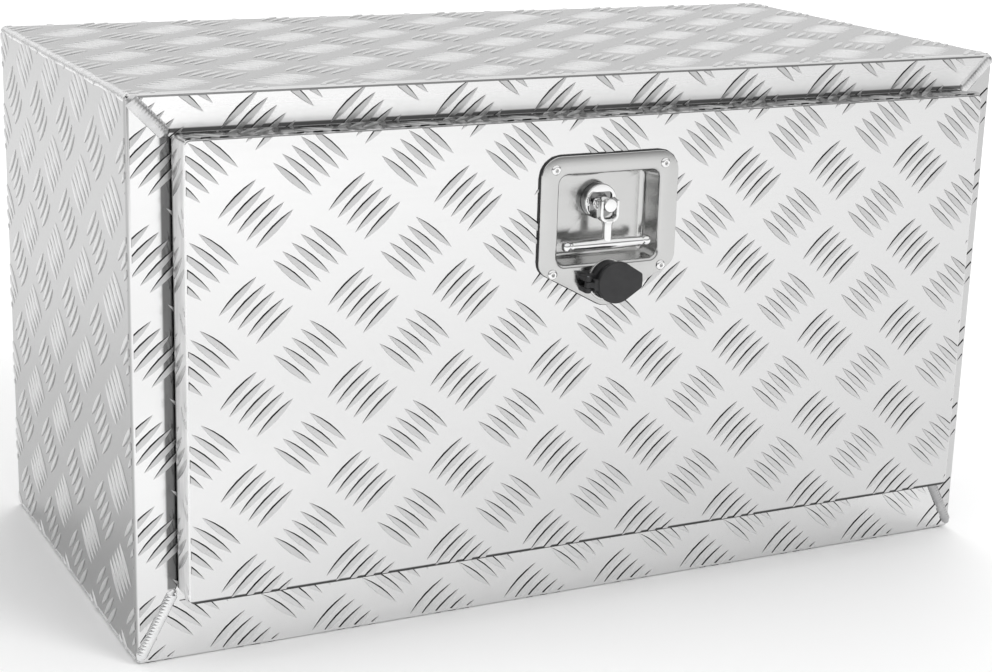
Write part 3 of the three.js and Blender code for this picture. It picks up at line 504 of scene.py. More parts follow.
def heading(angle):
    """The unit vector in x and z that points that way."""
    return Vector((math.cos(angle), math.sin(angle)))


def full_turn(steps):
    """Angles once round a circle."""
    return [2 * math.pi * step / steps for step in range(steps)]


def upright(outline, y):
    """An outline in x and z as a ring of points at that y."""
    return [Vector((p.x, y, p.y)) for p in outline]

# %% [markdown]
# ## Tread bars
# Five-bar tread plate has groups of five pointed bars. Neighbouring groups lean opposite ways and sit half a
# step apart, so the plate can be described by one small cell that repeats. Bars could be faked with a bump
# map, but raised ones catch real highlights and shadows and still show when seen edge on. Each bar here is
# pointed at both ends, about 1 mm high, with a flat crown, a steep lower flank and a slanting upper one.
# Where a bar meets the edge of a sheet it is cut, and the cut is closed down to the sheet.

# %% One tread bar
PITCH_ACROSS, PITCH_UP = 0.0836, 0.0710
BAR_LENGTH, BAR_WIDTH, BAR_RISE = 0.0392, 0.0058, 0.0010
RISING_LEAN, FALLING_LEAN = math.radians(43), math.radians(-40.5)
STEP_ACROSS, STEP_UP = 0.0070, 0.0059
STATIONS = (-0.8, -0.45, 0.0, 0.45, 0.8)
# Each row over a bar has points of (side, rise, share out of the painted shade), from lower to upper foot.
FLANKS = ((-1.0, 0.0, 0.86), (-0.86, 0.97, 1.0), (-0.1, 1.0, 1.0), (0.60, 0.98, 1.0), (1.0, 0.0, 0.0))
# The tips get a little painted shade; on the top and the ends the rising lean gets a little more.
TIP_OUTSIDE_SHADE, SHADED_LEAN = 0.9, 0.91


def bar_points(centre, along, across, normal):
    points = [(centre - along * (BAR_LENGTH / 2), TIP_OUTSIDE_SHADE)]
    for station in STATIONS:
        half_width = BAR_WIDTH / 2 * (1 - station * station)
        height = BAR_RISE * math.sqrt(1 - station * station)
        middle = centre + along * (BAR_LENGTH / 2 * station)
        for side, rise, outside_shade_band in FLANKS:
            points.append((middle + across * (half_width * side) + normal * (height * rise), outside_shade_band))
    points.append((centre + along * (BAR_LENGTH / 2), TIP_OUTSIDE_SHADE))
    return points


def bar_faces(start):
    width, last = len(FLANKS), len(STATIONS) * len(FLANKS) + 1
    faces = [(start, start + 2 + side, start + 1 + side) for side in range(width - 1)]
    for station in range(len(STATIONS) - 1):
        for side in range(width - 1):
            a = start + 1 + station * width + side
            faces.append((a, a + 1, a + width + 1, a + width))
    end = start + last - width
    faces += [(end + side, end + side + 1, start + last) for side in range(width - 1)]
    return faces


print("points in one bar:", 2 + len(STATIONS) * len(FLANKS))

# %% A whole sheet of tread bars
def groups_over(low, high, first, pitch):
    """Whole steps of pitch from first that cover low to high, and one more at each end."""
    return range(math.floor((low - first) / pitch) - 1, math.ceil((high - first) / pitch) + 2)


def bar_places(extent, phase):
    """(across, up, half) of each bar that may touch the area. half is 1 in rising groups, 0 in falling."""
    (low_a, high_a), (low_u, high_u) = extent
    reach = BAR_LENGTH / 2
    for half in (0, 1):
        first_a, first_u = phase[0] + half * PITCH_ACROSS / 2, phase[1] + half * PITCH_UP / 2
        for i in groups_over(low_a, high_a, first_a, PITCH_ACROSS):
            for k in groups_over(low_u, high_u, first_u, PITCH_UP):
                for bar in range(-2, 3):
                    a = first_a + i * PITCH_ACROSS + bar * STEP_ACROSS
                    u = first_u + k * PITCH_UP + bar * STEP_UP * (-1 if half else 1)
                    if low_a - reach < a < high_a + reach and low_u - reach < u < high_u + reach:
                        yield a, u, half


def tread(name, body, origin, across, up, extent, phase,
          cuts=(), covered=None, finish=bar_finish):
    """Bars on a flat area. extent is (low, high) across and up from origin, phase is the middle of one
    falling group, cuts are (point, outward direction) pairs that trim the bars further, and covered tells
    where another piece hides them."""
    origin, across, up = Vector(origin), Vector(across), Vector(up)
    normal = across.cross(up).normalized()
    (low_a, high_a), (low_u, high_u) = extent
    points, faces = [], []
    for a, u, half in bar_places(extent, phase):
        lean = RISING_LEAN if half else FALLING_LEAN
        along = across * math.cos(lean) + up * math.sin(lean)
        faces += bar_faces(len(points))
        for point, outside_shade_band in bar_points(origin + across * a + up * u, along, normal.cross(along), normal):
            # On the top and the ends the rising lean gets a little painted shade and the falling lean none.
            if finish in (top_bar_finish, end_bar_finish):
                outside_shade_band = outside_shade_band * SHADED_LEAN if half else 1.0
            points.append((point, outside_shade_band))
    mesh = bpy.data.meshes.new(name)
    mesh.from_pydata([tuple(p) for p, outside_shade_band in points], [], faces)
    mesh.attributes.new("outside_shade_band", "FLOAT", "POINT").data.foreach_set("value", [outside_shade_band for p, outside_shade_band in points])
    build = bmesh.new()
    build.from_mesh(mesh)
    edges = [(origin + across * low_a, -across), (origin + across * high_a, across),
             (origin + up * low_u, -up), (origin + up * high_u, up)]
    for place, outward in [*edges, *((Vector(p), Vector(d).normalized()) for p, d in cuts)]:
        trim(build, place, outward, origin, normal)
    if covered:
        hidden = [f for f in build.faces if all(covered(v.co) for v in f.verts)]
        bmesh.ops.delete(build, geom=hidden, context="FACES")
    build.to_mesh(mesh)
    build.free()
    return add_piece(name, mesh, finish, body, (), "tread_aluminium", crease=30)


def trim(build, place, outward, origin, normal):
    """Cut off what lies outward of the place and close the cut down to the sheet."""
    everything = [*build.verts, *build.edges, *build.faces]
    cut = bmesh.ops.bisect_plane(
        build, geom=everything, plane_co=place, plane_no=outward, clear_outer=True, dist=1e-7)
    for edge in [e for e in cut["geom_cut"] if isinstance(e, bmesh.types.BMEdge)]:
        first, second = edge.verts
        heights = [(v.co - origin).dot(normal) for v in (first, second)]
        if max(heights) < 1e-6:
            continue
        feet = [build.verts.new(v.co - normal * h) for v, h in zip((first, second), heights)]
        build.faces.new((first, second, feet[1], feet[0]))

# %% [markdown]
# ## Bars on the door
# The door is a shallow pan, so its face and three of its narrow sides show the pattern. The bars stop where
# the latch plate covers them.

# %% Door bars
HALF_WIDTH, HEIGHT, FRONT, BACK = 0.381, 0.432, -0.185, 0.185
DOOR_LOW, DOOR_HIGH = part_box("door_skin")
PLATE_LOW, PLATE_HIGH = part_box("latch_plate")
LATCH_X = (PLATE_LOW.x + PLATE_HIGH.x) / 2
BEND, RIM = 0.0017, 0.0030
DOOR_WIDE = (DOOR_LOW.x + BEND, DOOR_HIGH.x - BEND)
DOOR_TALL = (DOOR_LOW.z + BEND, DOOR_HIGH.z - BEND)


def plate_corners(inset=0.0):
    """The latch plate's corners as (x, z, radius), with its outline drawn in by inset."""
    left, right, top = PLATE_LOW.x + inset, PLATE_HIGH.x - inset, PLATE_HIGH.z - inset
    shoulder, point = PLATE_HIGH.z - 0.0896, PLATE_HIGH.z - 0.1224 + inset
    return [(left, top, 0.017 - inset), (left, shoulder, 0.012), (LATCH_X, point, 0.016),
            (right, shoulder, 0.012), (right, top, 0.017 - inset)]


def under_plate(point):
    """True inside the outline of the latch plate, 1 mm in from its edge."""
    corners, inside = plate_corners(), True
    for place, (x, z, radius) in enumerate(corners):
        after = corners[(place + 1) % len(corners)]
        along = (Vector(after[:2]) - Vector((x, z))).normalized()
        offset = Vector((point.x, point.z)) - Vector((x, z))
        inside = inside and along.x * offset.y - along.y * offset.x > MM
    return inside


door_bars = tread(
    "door_bars", "door", (0, DOOR_LOW.y, 0), RIGHT, UP,
    (DOOR_WIDE, DOOR_TALL), (-0.0031, 0.2407), covered=under_plate)
tread("door_left_bars", "door", (DOOR_LOW.x, 0, 0), OUT, UP,
      ((RIM - DOOR_HIGH.y, -DOOR_LOW.y - BEND), DOOR_TALL), (0.2300, 0.2050), finish=end_bar_finish)
tread("door_right_bars", "door", (DOOR_HIGH.x, 0, 0), INTO, UP,
      ((DOOR_LOW.y + BEND, DOOR_HIGH.y - RIM), DOOR_TALL), (-0.2300, 0.2050), finish=end_bar_finish)
tread("door_top_bars", "door", (0, 0, DOOR_HIGH.z), RIGHT, INTO,
      (DOOR_WIDE, (DOOR_LOW.y + BEND, DOOR_HIGH.y - RIM)), (-0.0031, -0.2200))
print("faces in the door's bars:", len(door_bars.data.polygons))

# %% [markdown]
# ## Bars on the cabinet
# The outer sheets carry the pattern all over. The frame round the door is cut on the mitre at its corners, so
# the bars there are trimmed by a slanting line. Along the bottom they stop short of the hinge.

# %% Cabinet bars
RADIUS, BARS_IN, HINGE_LINE, BACK_IN, BACK_MARGIN = 0.003, 0.042, 0.0472, 0.003, 0.0055
FRAME_SIDE, FRAME_FOOT = 0.044, 0.082
WIDE = (RADIUS - HALF_WIDTH, HALF_WIDTH - RADIUS)
DEEP = (FRONT + RADIUS, BACK)
TALL = (RADIUS, HEIGHT - RADIUS)
FROM_BACK = (-BACK, -FRONT - RADIUS)
INSIDE_BACK = ((BACK_MARGIN - HALF_WIDTH, HALF_WIDTH - BACK_MARGIN), (BACK_MARGIN, HEIGHT - BACK_MARGIN))
for name, origin, across, up, extent, phase, finish in (
        ("top_bars", (0, 0, HEIGHT), RIGHT, INTO, (WIDE, DEEP), (-0.0003, -0.0080), top_bar_finish),
        ("bottom_bars", (0, 0, 0), RIGHT, OUT, (WIDE, FROM_BACK), (-0.0003, 0.0100), bar_finish),
        ("left_bars", (-HALF_WIDTH, 0, 0), OUT, UP, (FROM_BACK, TALL), (-0.0210, 0.2020), end_bar_finish),
        ("right_bars", (HALF_WIDTH, 0, 0), INTO, UP, (DEEP, TALL), (0.0130, 0.2220), end_bar_finish),
        ("back_bars", (0, BACK - BACK_IN, 0), LEFT, UP, INSIDE_BACK, (0.0200, 0.2100), bar_finish)):
    tread(name, "cabinet", origin, across, up, extent, phase, finish=finish)
tread("top_flange_bars", "cabinet", (0, FRONT, 0), RIGHT, UP,
      (WIDE, (HEIGHT - BARS_IN, HEIGHT - RADIUS)), (-0.3245, 0.4415),
      cuts=[((side * HALF_WIDTH, FRONT, HEIGHT), (side, 0, -1)) for side in (-1, 1)])
tread("bottom_flange_bars", "cabinet", (0, FRONT, 0), RIGHT, UP,
      (WIDE, (RADIUS, HINGE_LINE)), (-0.3372, 0.0411), finish=foot_bar_finish,
      cuts=[((side * HALF_WIDTH, FRONT, 0), (side * FRAME_FOOT, 0, FRAME_SIDE)) for side in (-1, 1)])
for label, side in (("left", -1), ("right", 1)):
    low, high = sorted((side * (HALF_WIDTH - RADIUS), side * (HALF_WIDTH - BARS_IN)))
    tread(f"{label}_flange_bars", "cabinet", (0, FRONT, 0), RIGHT, UP,
          ((low, high), (RADIUS, HEIGHT - RADIUS)), (-0.4069, 0.4196),
          cuts=[((side * HALF_WIDTH, FRONT, HEIGHT), (-side, 0, 1)),
                ((side * HALF_WIDTH, FRONT, 0), (-side * FRAME_FOOT, 0, -FRAME_SIDE))])

# %% [markdown]
# ## Welds
# A weld made by hand is a row of overlapping pools, each frozen in a curved ripple. The bead is swept along
# its line, and its height and width follow a chain of small humps whose fronts bow backwards. A bump map
# would flatten at the outline, so the ripples are in the mesh.

# %% Weld helpers
POOL, EDGE_POOL, EDGE_RADIUS = 0.0026, 0.0032, 0.0050
STATION, EDGE_STATION = 0.00035, 0.0006
BOW, BEAD_LIFT, EDGE_SEAT = 0.45, 0.00002, 0.0019
BEAD_SIDES = (-1.0, -0.8, -0.5, -0.2, 0.2, 0.5, 0.8, 1.0)


def hump(distance, side, step):
    """How full the bead is: 1 on a pool, 0 in the groove between two pools."""
    return abs(math.sin(math.pi * (distance / step + BOW * side * side)))


def flat_bead(name, node, start, end, width, height, ripple):
    """A bead on the front of the frame, narrow at its ends. ripple is the share of its height that waves."""
    out, length = Vector(OUT), (end - start).length
    along = (end - start).normalized()
    across = along.cross(out)
    count = int(length / STATION)
    rings = []
    for place in range(count + 1):
        distance = length * place / count
        taper = min(1.0, 0.45 + 8 * distance / length, 0.45 + 8 * (1 - distance / length))
        ring = []
        for side in BEAD_SIDES:
            full = hump(distance, side, POOL)
            half = width / 2 * taper * (0.97 + 0.03 * full)
            rise = height * taper * math.sqrt(1 - side ** 2) * (1 - ripple + ripple * full)
            ring.append(start + along * distance + across * (half * side) + out * (rise + BEAD_LIFT))
        rings.append(ring)
    make_piece(name, *skin_rings(rings), weld_finish, "cabinet", (node,), "weld_metal", crease=60)


def edge_bead(name, node, low_y, high_y, side_x, at_top):
    """A rougher bead round a corner of the box. Slow waves make it wander, quick ones add lumps."""
    count = int((high_y - low_y) / EDGE_STATION)
    rings = []
    for place in range(count + 1):
        y = low_y + (high_y - low_y) * place / count
        ring = []
        wander = 0.0004 * math.sin(y * 61) + 0.0003 * math.sin(y * 173 + 1)
        for part in range(9):
            turn = math.pi / 2 * part / 8
            side = part / 4 - 1
            lump = 0.0003 * math.sin(y * 911 + 3 * side) * math.sin(y * 377 + 5 * side)
            full = 0.0003 + 0.0006 * hump(y + 0.3, side, EDGE_POOL) + lump
            reach = EDGE_RADIUS * 1.005 + full * math.sin(2 * turn)
            ring.append((EDGE_RADIUS - reach * math.sin(turn) + wander * math.cos(turn) ** 4,
                         EDGE_RADIUS - reach * math.cos(turn) + wander * math.sin(turn) ** 4))
        ring.append((EDGE_SEAT, EDGE_SEAT))
        rings.append([Vector((side_x * (HALF_WIDTH - x), y, HEIGHT - z if at_top else z)) for x, z in ring])
    make_piece(name, *skin_rings(rings), weld_finish, "cabinet", (node,), "weld_metal", crease=60)

# %% Weld beads
for label, side in (("left", -1), ("right", 1)):
    top = (Vector((side * 0.3785, FRONT, HEIGHT - 0.0025)), Vector((side * 0.3505, FRONT, HEIGHT - 0.0305)))
    foot = (Vector((side * 0.3790, FRONT, 0.0037)), Vector((side * 0.3508, FRONT, 0.0563)))
    flat_bead(f"corner_bead_top_{label}", f"mitre_weld_top_{label}", *top, 0.0108, 0.0020, 0.035)
    flat_bead(f"corner_bead_foot_{label}", f"mitre_weld_bottom_{label}", *foot, 0.0096, 0.0032, 0.07)
    edge_bead(f"edge_bead_top_{label}", f"edge_weld_top_{label}", FRONT + RADIUS, BACK, side, True)
    edge_bead(f"edge_bead_foot_{label}", f"edge_weld_bottom_{label}", FRONT + RADIUS, BACK, side, False)

# %% [markdown]
# ## The pressed latch plate
# The plate starts as a flat stainless blank and a press draws the tray out of it, so every corner of the tray
# is a soft radius. Plate and tray have different outlines. Both can be described by how far they reach from
# the middle of the tray in each direction, so rings of points with the same directions can be skinned
# straight from the plate's rim, over the tray's lip, down its wall and across its floor.

# %% Rings round the tray
PLATE_SHEET, TRAY_SHEET, HUB_Z, HOLE_RADIUS = 0.0015, 0.0012, 0.334, 0.0063
FLOOR_Y = PLATE_HIGH.y - TRAY_SHEET
TRAY_LOW, TRAY_HIGH = Vector((LATCH_X - 0.0442, 0.289)), Vector((LATCH_X + 0.0442, 0.3593))
MIDDLE = Vector((LATCH_X, HUB_Z))


def tray_outline(inset):
    left, right, radius = TRAY_LOW.x + inset, TRAY_HIGH.x - inset, max(0.0072 - inset, 0.0008)
    low, high = TRAY_LOW.y + inset, TRAY_HIGH.y - inset
    return rounded_outline([
        (left, low, radius), (right, low, radius), (right, high, radius), (left, high, radius)])


def plate_outline(inset):
    return rounded_outline(plate_corners(inset), 8)


def reach_at(outline, angle):
    """How far the outline is from the middle of the tray in that direction."""
    ray, best = heading(angle), 0.0
    for place, here in enumerate(outline):
        first, edge = here - MIDDLE, outline[(place + 1) % len(outline)] - here
        turn = ray.x * edge.y - ray.y * edge.x
        if abs(turn) < 1e-15:
            continue
        distance = (first.x * edge.y - first.y * edge.x) / turn
        along_edge = (first.x * ray.y - first.y * ray.x) / turn
        if distance > 0 and -1e-6 <= along_edge <= 1 + 1e-6:
            best = max(best, distance)
    return best


TRAY_ANGLES = sorted({
    round(math.atan2(p.y - MIDDLE.y, p.x - MIDDLE.x), 5)
    for outline in (plate_outline(0), tray_outline(0), tray_outline(0.003)) for p in outline})


def ring_at(outline, y):
    return upright([MIDDLE + heading(angle) * reach_at(outline, angle) for angle in TRAY_ANGLES], y)


print("directions round the tray:", len(TRAY_ANGLES))

# %% Latch plate
def arc(centre_inset, centre_y, radius, from_degrees, to_degrees, steps=5):
    """(inset, y) pairs on an arc in the section of the tray wall."""
    pairs = []
    for step in range(steps + 1):
        angle = math.radians(from_degrees + (to_degrees - from_degrees) * step / steps)
        pairs.append((centre_inset + radius * math.cos(angle), centre_y + radius * math.sin(angle)))
    return pairs


def latch_plate():
    """From the rim at the rear over the front, down the tray, to the hub's hole, and back behind the tray."""
    front, rear, lip, foot = PLATE_LOW.y, PLATE_LOW.y + PLATE_SHEET, 0.0030, 0.0045
    under = FLOOR_Y + TRAY_SHEET
    hole = [MIDDLE + heading(angle) * HOLE_RADIUS for angle in full_turn(48)]
    section = [(plate_outline(inset), y) for inset, y in (
        (0, rear), (0, front + 0.0005), (0.00015, front + 0.00015), (0.0005, front))]
    section += [(tray_outline(inset), y) for inset, y in (
        *arc(-lip, front + lip, lip, -90, 0), *arc(foot + 0.0016, FLOOR_Y - foot, foot, 180, 90))]
    section += [(hole, FLOOR_Y), (hole, under)]
    section += [(tray_outline(inset), y) for inset, y in (
        (0.0050, under), (0.0008, FLOOR_Y - 0.0028), (-0.0011, rear + 0.0030), (-TRAY_SHEET, rear))]
    rings = [ring_at(outline, y) for outline, y in section]
    return make_piece("pressed_plate", *skin_rings(rings, looped=True), satin_finish, "door",
                      ("latch_plate",), "stainless", crease=50)


print("pressed plate faces:", len(latch_plate().data.polygons))

# %% [markdown]
# ## Turned pieces
# The rivets, the hub and the ends of the handle are round, so each is a profile spun about an axis. The
# helper takes a profile of radius and distance along the axis.

# %% Turning helper
def spun(profile, origin, axis, sides=48, looped=False):
    axis = Vector(axis)
    first = axis.orthogonal().normalized()
    second = axis.cross(first)
    rings = []
    for radius, along in profile:
        rings.append([Vector(origin) + axis * along + (first * math.cos(a) + second * math.sin(a)) * radius
                      for a in full_turn(sides)])
    return skin_rings(rings, looped=looped)


def rounded_profile(pairs, radius, steps=3):
    """The profile with each inner corner rounded by chopping it into a short arc."""
    result = [pairs[0]]
    for place in range(1, len(pairs) - 1):
        here = Vector(pairs[place])
        before, after = Vector(pairs[place - 1]) - here, Vector(pairs[place + 1]) - here
        cut = min(radius, before.length * 0.45, after.length * 0.45)
        start, end = here + before.normalized() * cut, here + after.normalized() * cut
        for step in range(steps + 1):
            t = step / steps
            point = start * (1 - t) ** 2 + here * (2 * t * (1 - t)) + end * t ** 2
            result.append((point.x, point.y))
    result.append(pairs[-1])
    return result


def both_ways(half):
    """A whole profile from the half that starts in its middle."""
    return [(radius, -along) for radius, along in reversed(half)] + half[1:]

# %% Rivets and hub
for place in range(1, 5):
    low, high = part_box(f"latch_rivet_{place}")
    middle, seat = ((low.x + high.x) / 2, 0, (low.z + high.z) / 2), PLATE_LOW.y - 0.00005
    profile = rounded_profile([
        (0.0002, seat + 0.0012), (0.0012, seat + 0.0011), (0.0013, seat - 0.0016), (0.0026, seat - 0.0017),
        (0.0037, seat - 0.0010), (0.0042, seat), (0.0022, seat), (0.0022, high.y), (0.0002, high.y)], 0.0004)
    make_piece(f"rivet_head_{place}", *spun(profile, middle, INTO, 32), polished_finish, "door",
               (f"latch_rivet_{place}",), "stainless")

hub_low, hub_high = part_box("latch_hub")
HUB_FRONT, POST_FRONT, NECK_Y = PLATE_LOW.y + 0.014, hub_low.y, -0.1808
HUB = Vector((LATCH_X, 0, HUB_Z))
hub_profile = rounded_profile([
    (0.0001, HUB_FRONT), (0.0136, HUB_FRONT), (0.0140, HUB_FRONT + 0.0008), (0.0140, FLOOR_Y - 0.0003),
    (0.0060, FLOOR_Y - 0.0003), (0.0060, NECK_Y), (0.0040, NECK_Y), (0.0040, hub_high.y),
    (0.0001, hub_high.y)], 0.0009)
turned_hub = make_piece("turned_hub", *spun(hub_profile, HUB, INTO, 64), polished_finish, "hub",
                        ("latch_hub",), "stainless")
post_profile = rounded_profile([
    (0.0001, POST_FRONT), (0.0053, POST_FRONT), (0.0053, HUB_FRONT + 0.0030), (0.0001, HUB_FRONT + 0.0030)],
    0.0006)
make_piece("hub_post", *spun(post_profile, HUB, INTO), polished_finish, "hub", (), "stainless")
print("hub and post front at y in mm:", round(HUB_FRONT / MM, 1), round(POST_FRONT / MM, 1))

# %% Pocket in the hub's face
def milled(piece, outline, low_y, high_y):
    """Cut a pocket with the given outline in x and z, from low_y back to high_y, into a finished mesh."""
    cutter = skin_rings([upright(outline, y) for y in (low_y, high_y)])
    tool = put_in_scene("cutter", closed_mesh("cutter", *cutter))
    change = piece.modifiers.new("pocket", "BOOLEAN")
    change.operation, change.solver, change.object = "DIFFERENCE", "EXACT", tool
    bpy.context.view_layer.update()
    cut_mesh = bpy.data.meshes.new_from_object(piece.evaluated_get(bpy.context.evaluated_depsgraph_get()))
    piece.modifiers.remove(change)
    piece.data = cut_mesh
    cut_mesh.shade_smooth()
    cut_mesh.set_sharp_from_angle(angle=math.radians(35))
    bpy.data.objects.remove(tool)


POCKET_HALF = 0.0098
pocket = rounded_outline([
    (HUB.x - POCKET_HALF, HUB.z - 0.0200, 0.001), (HUB.x + POCKET_HALF, HUB.z - 0.0200, 0.001),
    (HUB.x + POCKET_HALF, HUB.z + 0.0078, 0.0035), (HUB.x - POCKET_HALF, HUB.z + 0.0078, 0.0035)])
milled(turned_hub, pocket, HUB_FRONT - 0.001, HUB_FRONT + 0.0016)
# The barrel behind the hub's face and the inside of its pocket get the dark steel, as painted shade.
turned_hub.data.materials.append(shaded_finish)
for face in turned_hub.data.polygons:
    off_axis = Vector((face.center.x - HUB.x, face.center.z - HUB.z)).length
    if face.center.y > HUB_FRONT + 0.0012 or (off_axis < 0.011 and face.center.y > HUB_FRONT + 0.0003):
        face.material_index = 1
print("hub faces after milling:", len(turned_hub.data.polygons))

# %% [markdown]
# ## The tee handle
# The handle is a yoke that straddles the hub's post, a short stem and a cross bar with a ball at each end. It
# hangs straight down in the tray. The yoke is swept: a soft rectangle follows a U, and a round eye stands
# behind the top of each arm for the cross pin. The rest is turned.

# %% Tee handle
PIVOT = Vector((LATCH_X, PLATE_LOW.y + 0.007, HUB_Z))
ARM_INNER, ARM_OUTER, YOKE_FRONT, YOKE_BACK = 0.0057, 0.0083, -0.008, -0.001
STEM_Y, TEE_DROP = -0.004, 0.0310


def merged(pieces):
    points, faces = [], []
    for more_points, more_faces in pieces:
        faces += [tuple(i + len(points) for i in face) for face in more_faces]
        points += more_points
    return points, faces


def yoke_path():
    """Places on the middle line of the U in x and z, with the half thickness there."""
    middle, bottom, bend = (ARM_INNER + ARM_OUTER) / 2, -0.0124, 0.0050
    half = (ARM_OUTER - ARM_INNER) / 2
    path = [((-middle, 0.0034), half * 0.8), ((-middle, 0.0030), half), ((-middle, bottom + bend), half)]
    for step in range(1, 8):
        angle = math.pi + math.pi / 2 * step / 8
        path.append(((bend - middle + bend * math.cos(angle), bottom + bend + bend * math.sin(angle)),
                     half + 0.0003 * step / 8))
    left = [*path, ((bend - middle, bottom), half + 0.0003)]
    return left + [((-x, z), thick) for (x, z), thick in reversed(left)]


def swept_yoke():
    path = yoke_path()
    rings = []
    for place, ((x, z), half) in enumerate(path):
        before, after = path[max(place - 1, 0)][0], path[min(place + 1, len(path) - 1)][0]
        along = (Vector(after) - Vector(before)).normalized()
        side = Vector((-along.y, along.x))
        ring = []
        for a, y in rounded_outline([
                (-half, YOKE_FRONT, 0.0007), (half, YOKE_FRONT, 0.0007), (half, YOKE_BACK, 0.0004),
                (-half, YOKE_BACK, 0.0004)], 3):
            ring.append(Vector((x + side.x * a, y, z + side.y * a)))
        rings.append(ring)
    return skin_rings(rings)


def handle_pieces():
    eye = rounded_profile([
        (0.0023, ARM_INNER), (0.0046, ARM_INNER), (0.0046, ARM_OUTER), (0.0023, ARM_OUTER)], 0.0005)
    eyes = []
    for side in (-1, 1):
        rings = [[Vector((side * x, radius * math.cos(a), radius * math.sin(a))) for a in full_turn(40)]
                 for radius, x in eye]
        eyes.append(skin_rings(rings, looped=True))
    stem = rounded_profile([
        (0.0001, 0.0118), (0.0052, 0.0118), (0.0050, 0.0134), (0.0039, 0.0158), (0.0037, 0.0300),
        (0.0001, 0.0310)], 0.0015)
    bar = [
        (0.0043, 0.0), (0.0043, 0.0090), (0.0039, 0.0200), (0.0035, 0.0285), (0.0037, 0.0295),
        (0.0037, 0.0308), (0.0027, 0.0316), (0.0027, 0.0322), (0.0036, 0.0330), (0.0041, 0.0345),
        (0.0041, 0.0358), (0.0036, 0.0374), (0.0024, 0.0385), (0.0001, 0.0390)]
    return [swept_yoke(), *eyes, spun(stem, (0, STEM_Y, 0), (0, 0, -1), 32),
            spun(both_ways(bar), (0, STEM_Y, -TEE_DROP), RIGHT, 32)]


points, faces = merged(handle_pieces())
tee = make_piece("tee_yoke_and_bar", [PIVOT + p for p in points], faces, polished_finish, "handle",
                 ("tee_handle",), "stainless", crease=45)
print("tee handle faces:", len(tee.data.polygons))

# %% Cross pin
PIN_END = 0.0094
pin = [(0.0022, 0.0), (0.0022, 0.0084), (0.0033, 0.0085), (0.0033, 0.0091), (0.0027, PIN_END),
       (0.0019, PIN_END), (0.0017, 0.0086), (0.0001, 0.0086)]
make_piece("cross_pin", *spun(both_ways(pin), PIVOT, RIGHT, 32), polished_finish, "hub",
           ("handle_pivot_pin",), "stainless")
print("cross pin length in mm:", round(2 * PIN_END / MM, 1))

# %% [markdown]
# ## The lock and its weather cap
# A rubber cap keeps rain out of the key hole. It is a deep cup with a pull tab, and a strap joins it to the
# pin on which it swings, held by two lugs of the rubber collar round the lock. The outline of the cup is a
# circle with two straight lines to the blunt tab. A thin steel ring trims the hole round the lock.

# %% Weather cap
LOCK = Vector((LATCH_X, 0, 0.275))
solid_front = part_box("weather_cap")[0].y
CAP_FRONT, HINGE_X, HINGE_Y = solid_front - 0.0045, LOCK.x - 0.022, solid_front + 0.0026
CAP_MIDDLE = Vector((LOCK.x + 0.0006, LOCK.z + 0.0010))
CAP_RADIUS, TAB_REACH, TAB_HALF = 0.0165, 0.0222, 0.0058
STRAP_HALF, KNUCKLE_HALF = 0.0043, 0.0021


def cap_outline(inset):
    lean = math.acos((CAP_RADIUS - TAB_HALF) / TAB_REACH)
    points = []
    for step in range(41):
        angle = lean + (2 * math.pi - 2 * lean) * step / 40
        points.append(CAP_MIDDLE + heading(angle) * (CAP_RADIUS - inset))
    tip, half = TAB_REACH - inset, TAB_HALF - inset * 0.3
    end = ((tip - 0.0012, half + 0.0004), (tip - 0.0003, half - 0.0009), (tip, 0))
    points += [CAP_MIDDLE + Vector((x, -z)) for x, z in end[:2]]
    points += [CAP_MIDDLE + Vector((x, z)) for x, z in reversed(end)]
    return points


def weather_cap():
    rings = []
    for inset, y in ((0.0040, 0.0092), (0.0032, 0.0094), (0.0029, 0.0090), (0.0029, 0.0034), (0.0005, 0.0031),
                     (-0.0002, 0.0026), (0.0, 0.0006), (0.0004, 0.0001), (0.0009, 0.0), (0.0060, 0.0001)):
        rings.append(upright(cap_outline(inset), CAP_FRONT + y))
    strap = []
    for x, front, back, half in (
            (LOCK.x - 0.0125, CAP_FRONT + 0.0006, CAP_FRONT + 0.0040, STRAP_HALF),
            (LOCK.x - 0.0186, CAP_FRONT + 0.0022, HINGE_Y + 0.0015, STRAP_HALF),
            (LOCK.x - 0.0187, CAP_FRONT + 0.0023, HINGE_Y + 0.0015, KNUCKLE_HALF),
            (HINGE_X - 0.0002, HINGE_Y - 0.0020, HINGE_Y + 0.0020, KNUCKLE_HALF)):
        strap.append([Vector((x, y, LOCK.z + z)) for y, z in
                      ((front, -half), (back, -half), (back, half), (front, half))])
    knuckle = rounded_profile([
        (0.0001, -0.0022), (0.0026, -0.0022), (0.0026, 0.0022), (0.0001, 0.0022)], 0.0003)
    points, faces = merged([
        skin_rings(rings), skin_rings(strap[:2]), skin_rings(strap[2:]),
        spun(knuckle, (HINGE_X, HINGE_Y, LOCK.z), UP, 24)])
    make_piece("rain_cap", points, faces, rubber_finish, "cap", ("weather_cap",), "black_rubber", crease=40)


weather_cap()
RING_INNER, RING_OUTER, RING_BACK = 0.0151, 0.0170, PLATE_LOW.y - 0.0002
ring_profile = rounded_profile([
    (RING_INNER, RING_BACK), (RING_INNER, PLATE_LOW.y - 0.0016), (0.0168, PLATE_LOW.y - 0.0014),
    (RING_OUTER, RING_BACK), (RING_INNER, RING_BACK)], 0.0004)[:-1]
make_piece("lock_ring", *spun(ring_profile, LOCK, INTO, 64, looped=True), satin_finish, "door",
           (), "stainless")
print("cap front at y in mm:", round(CAP_FRONT / MM, 1))

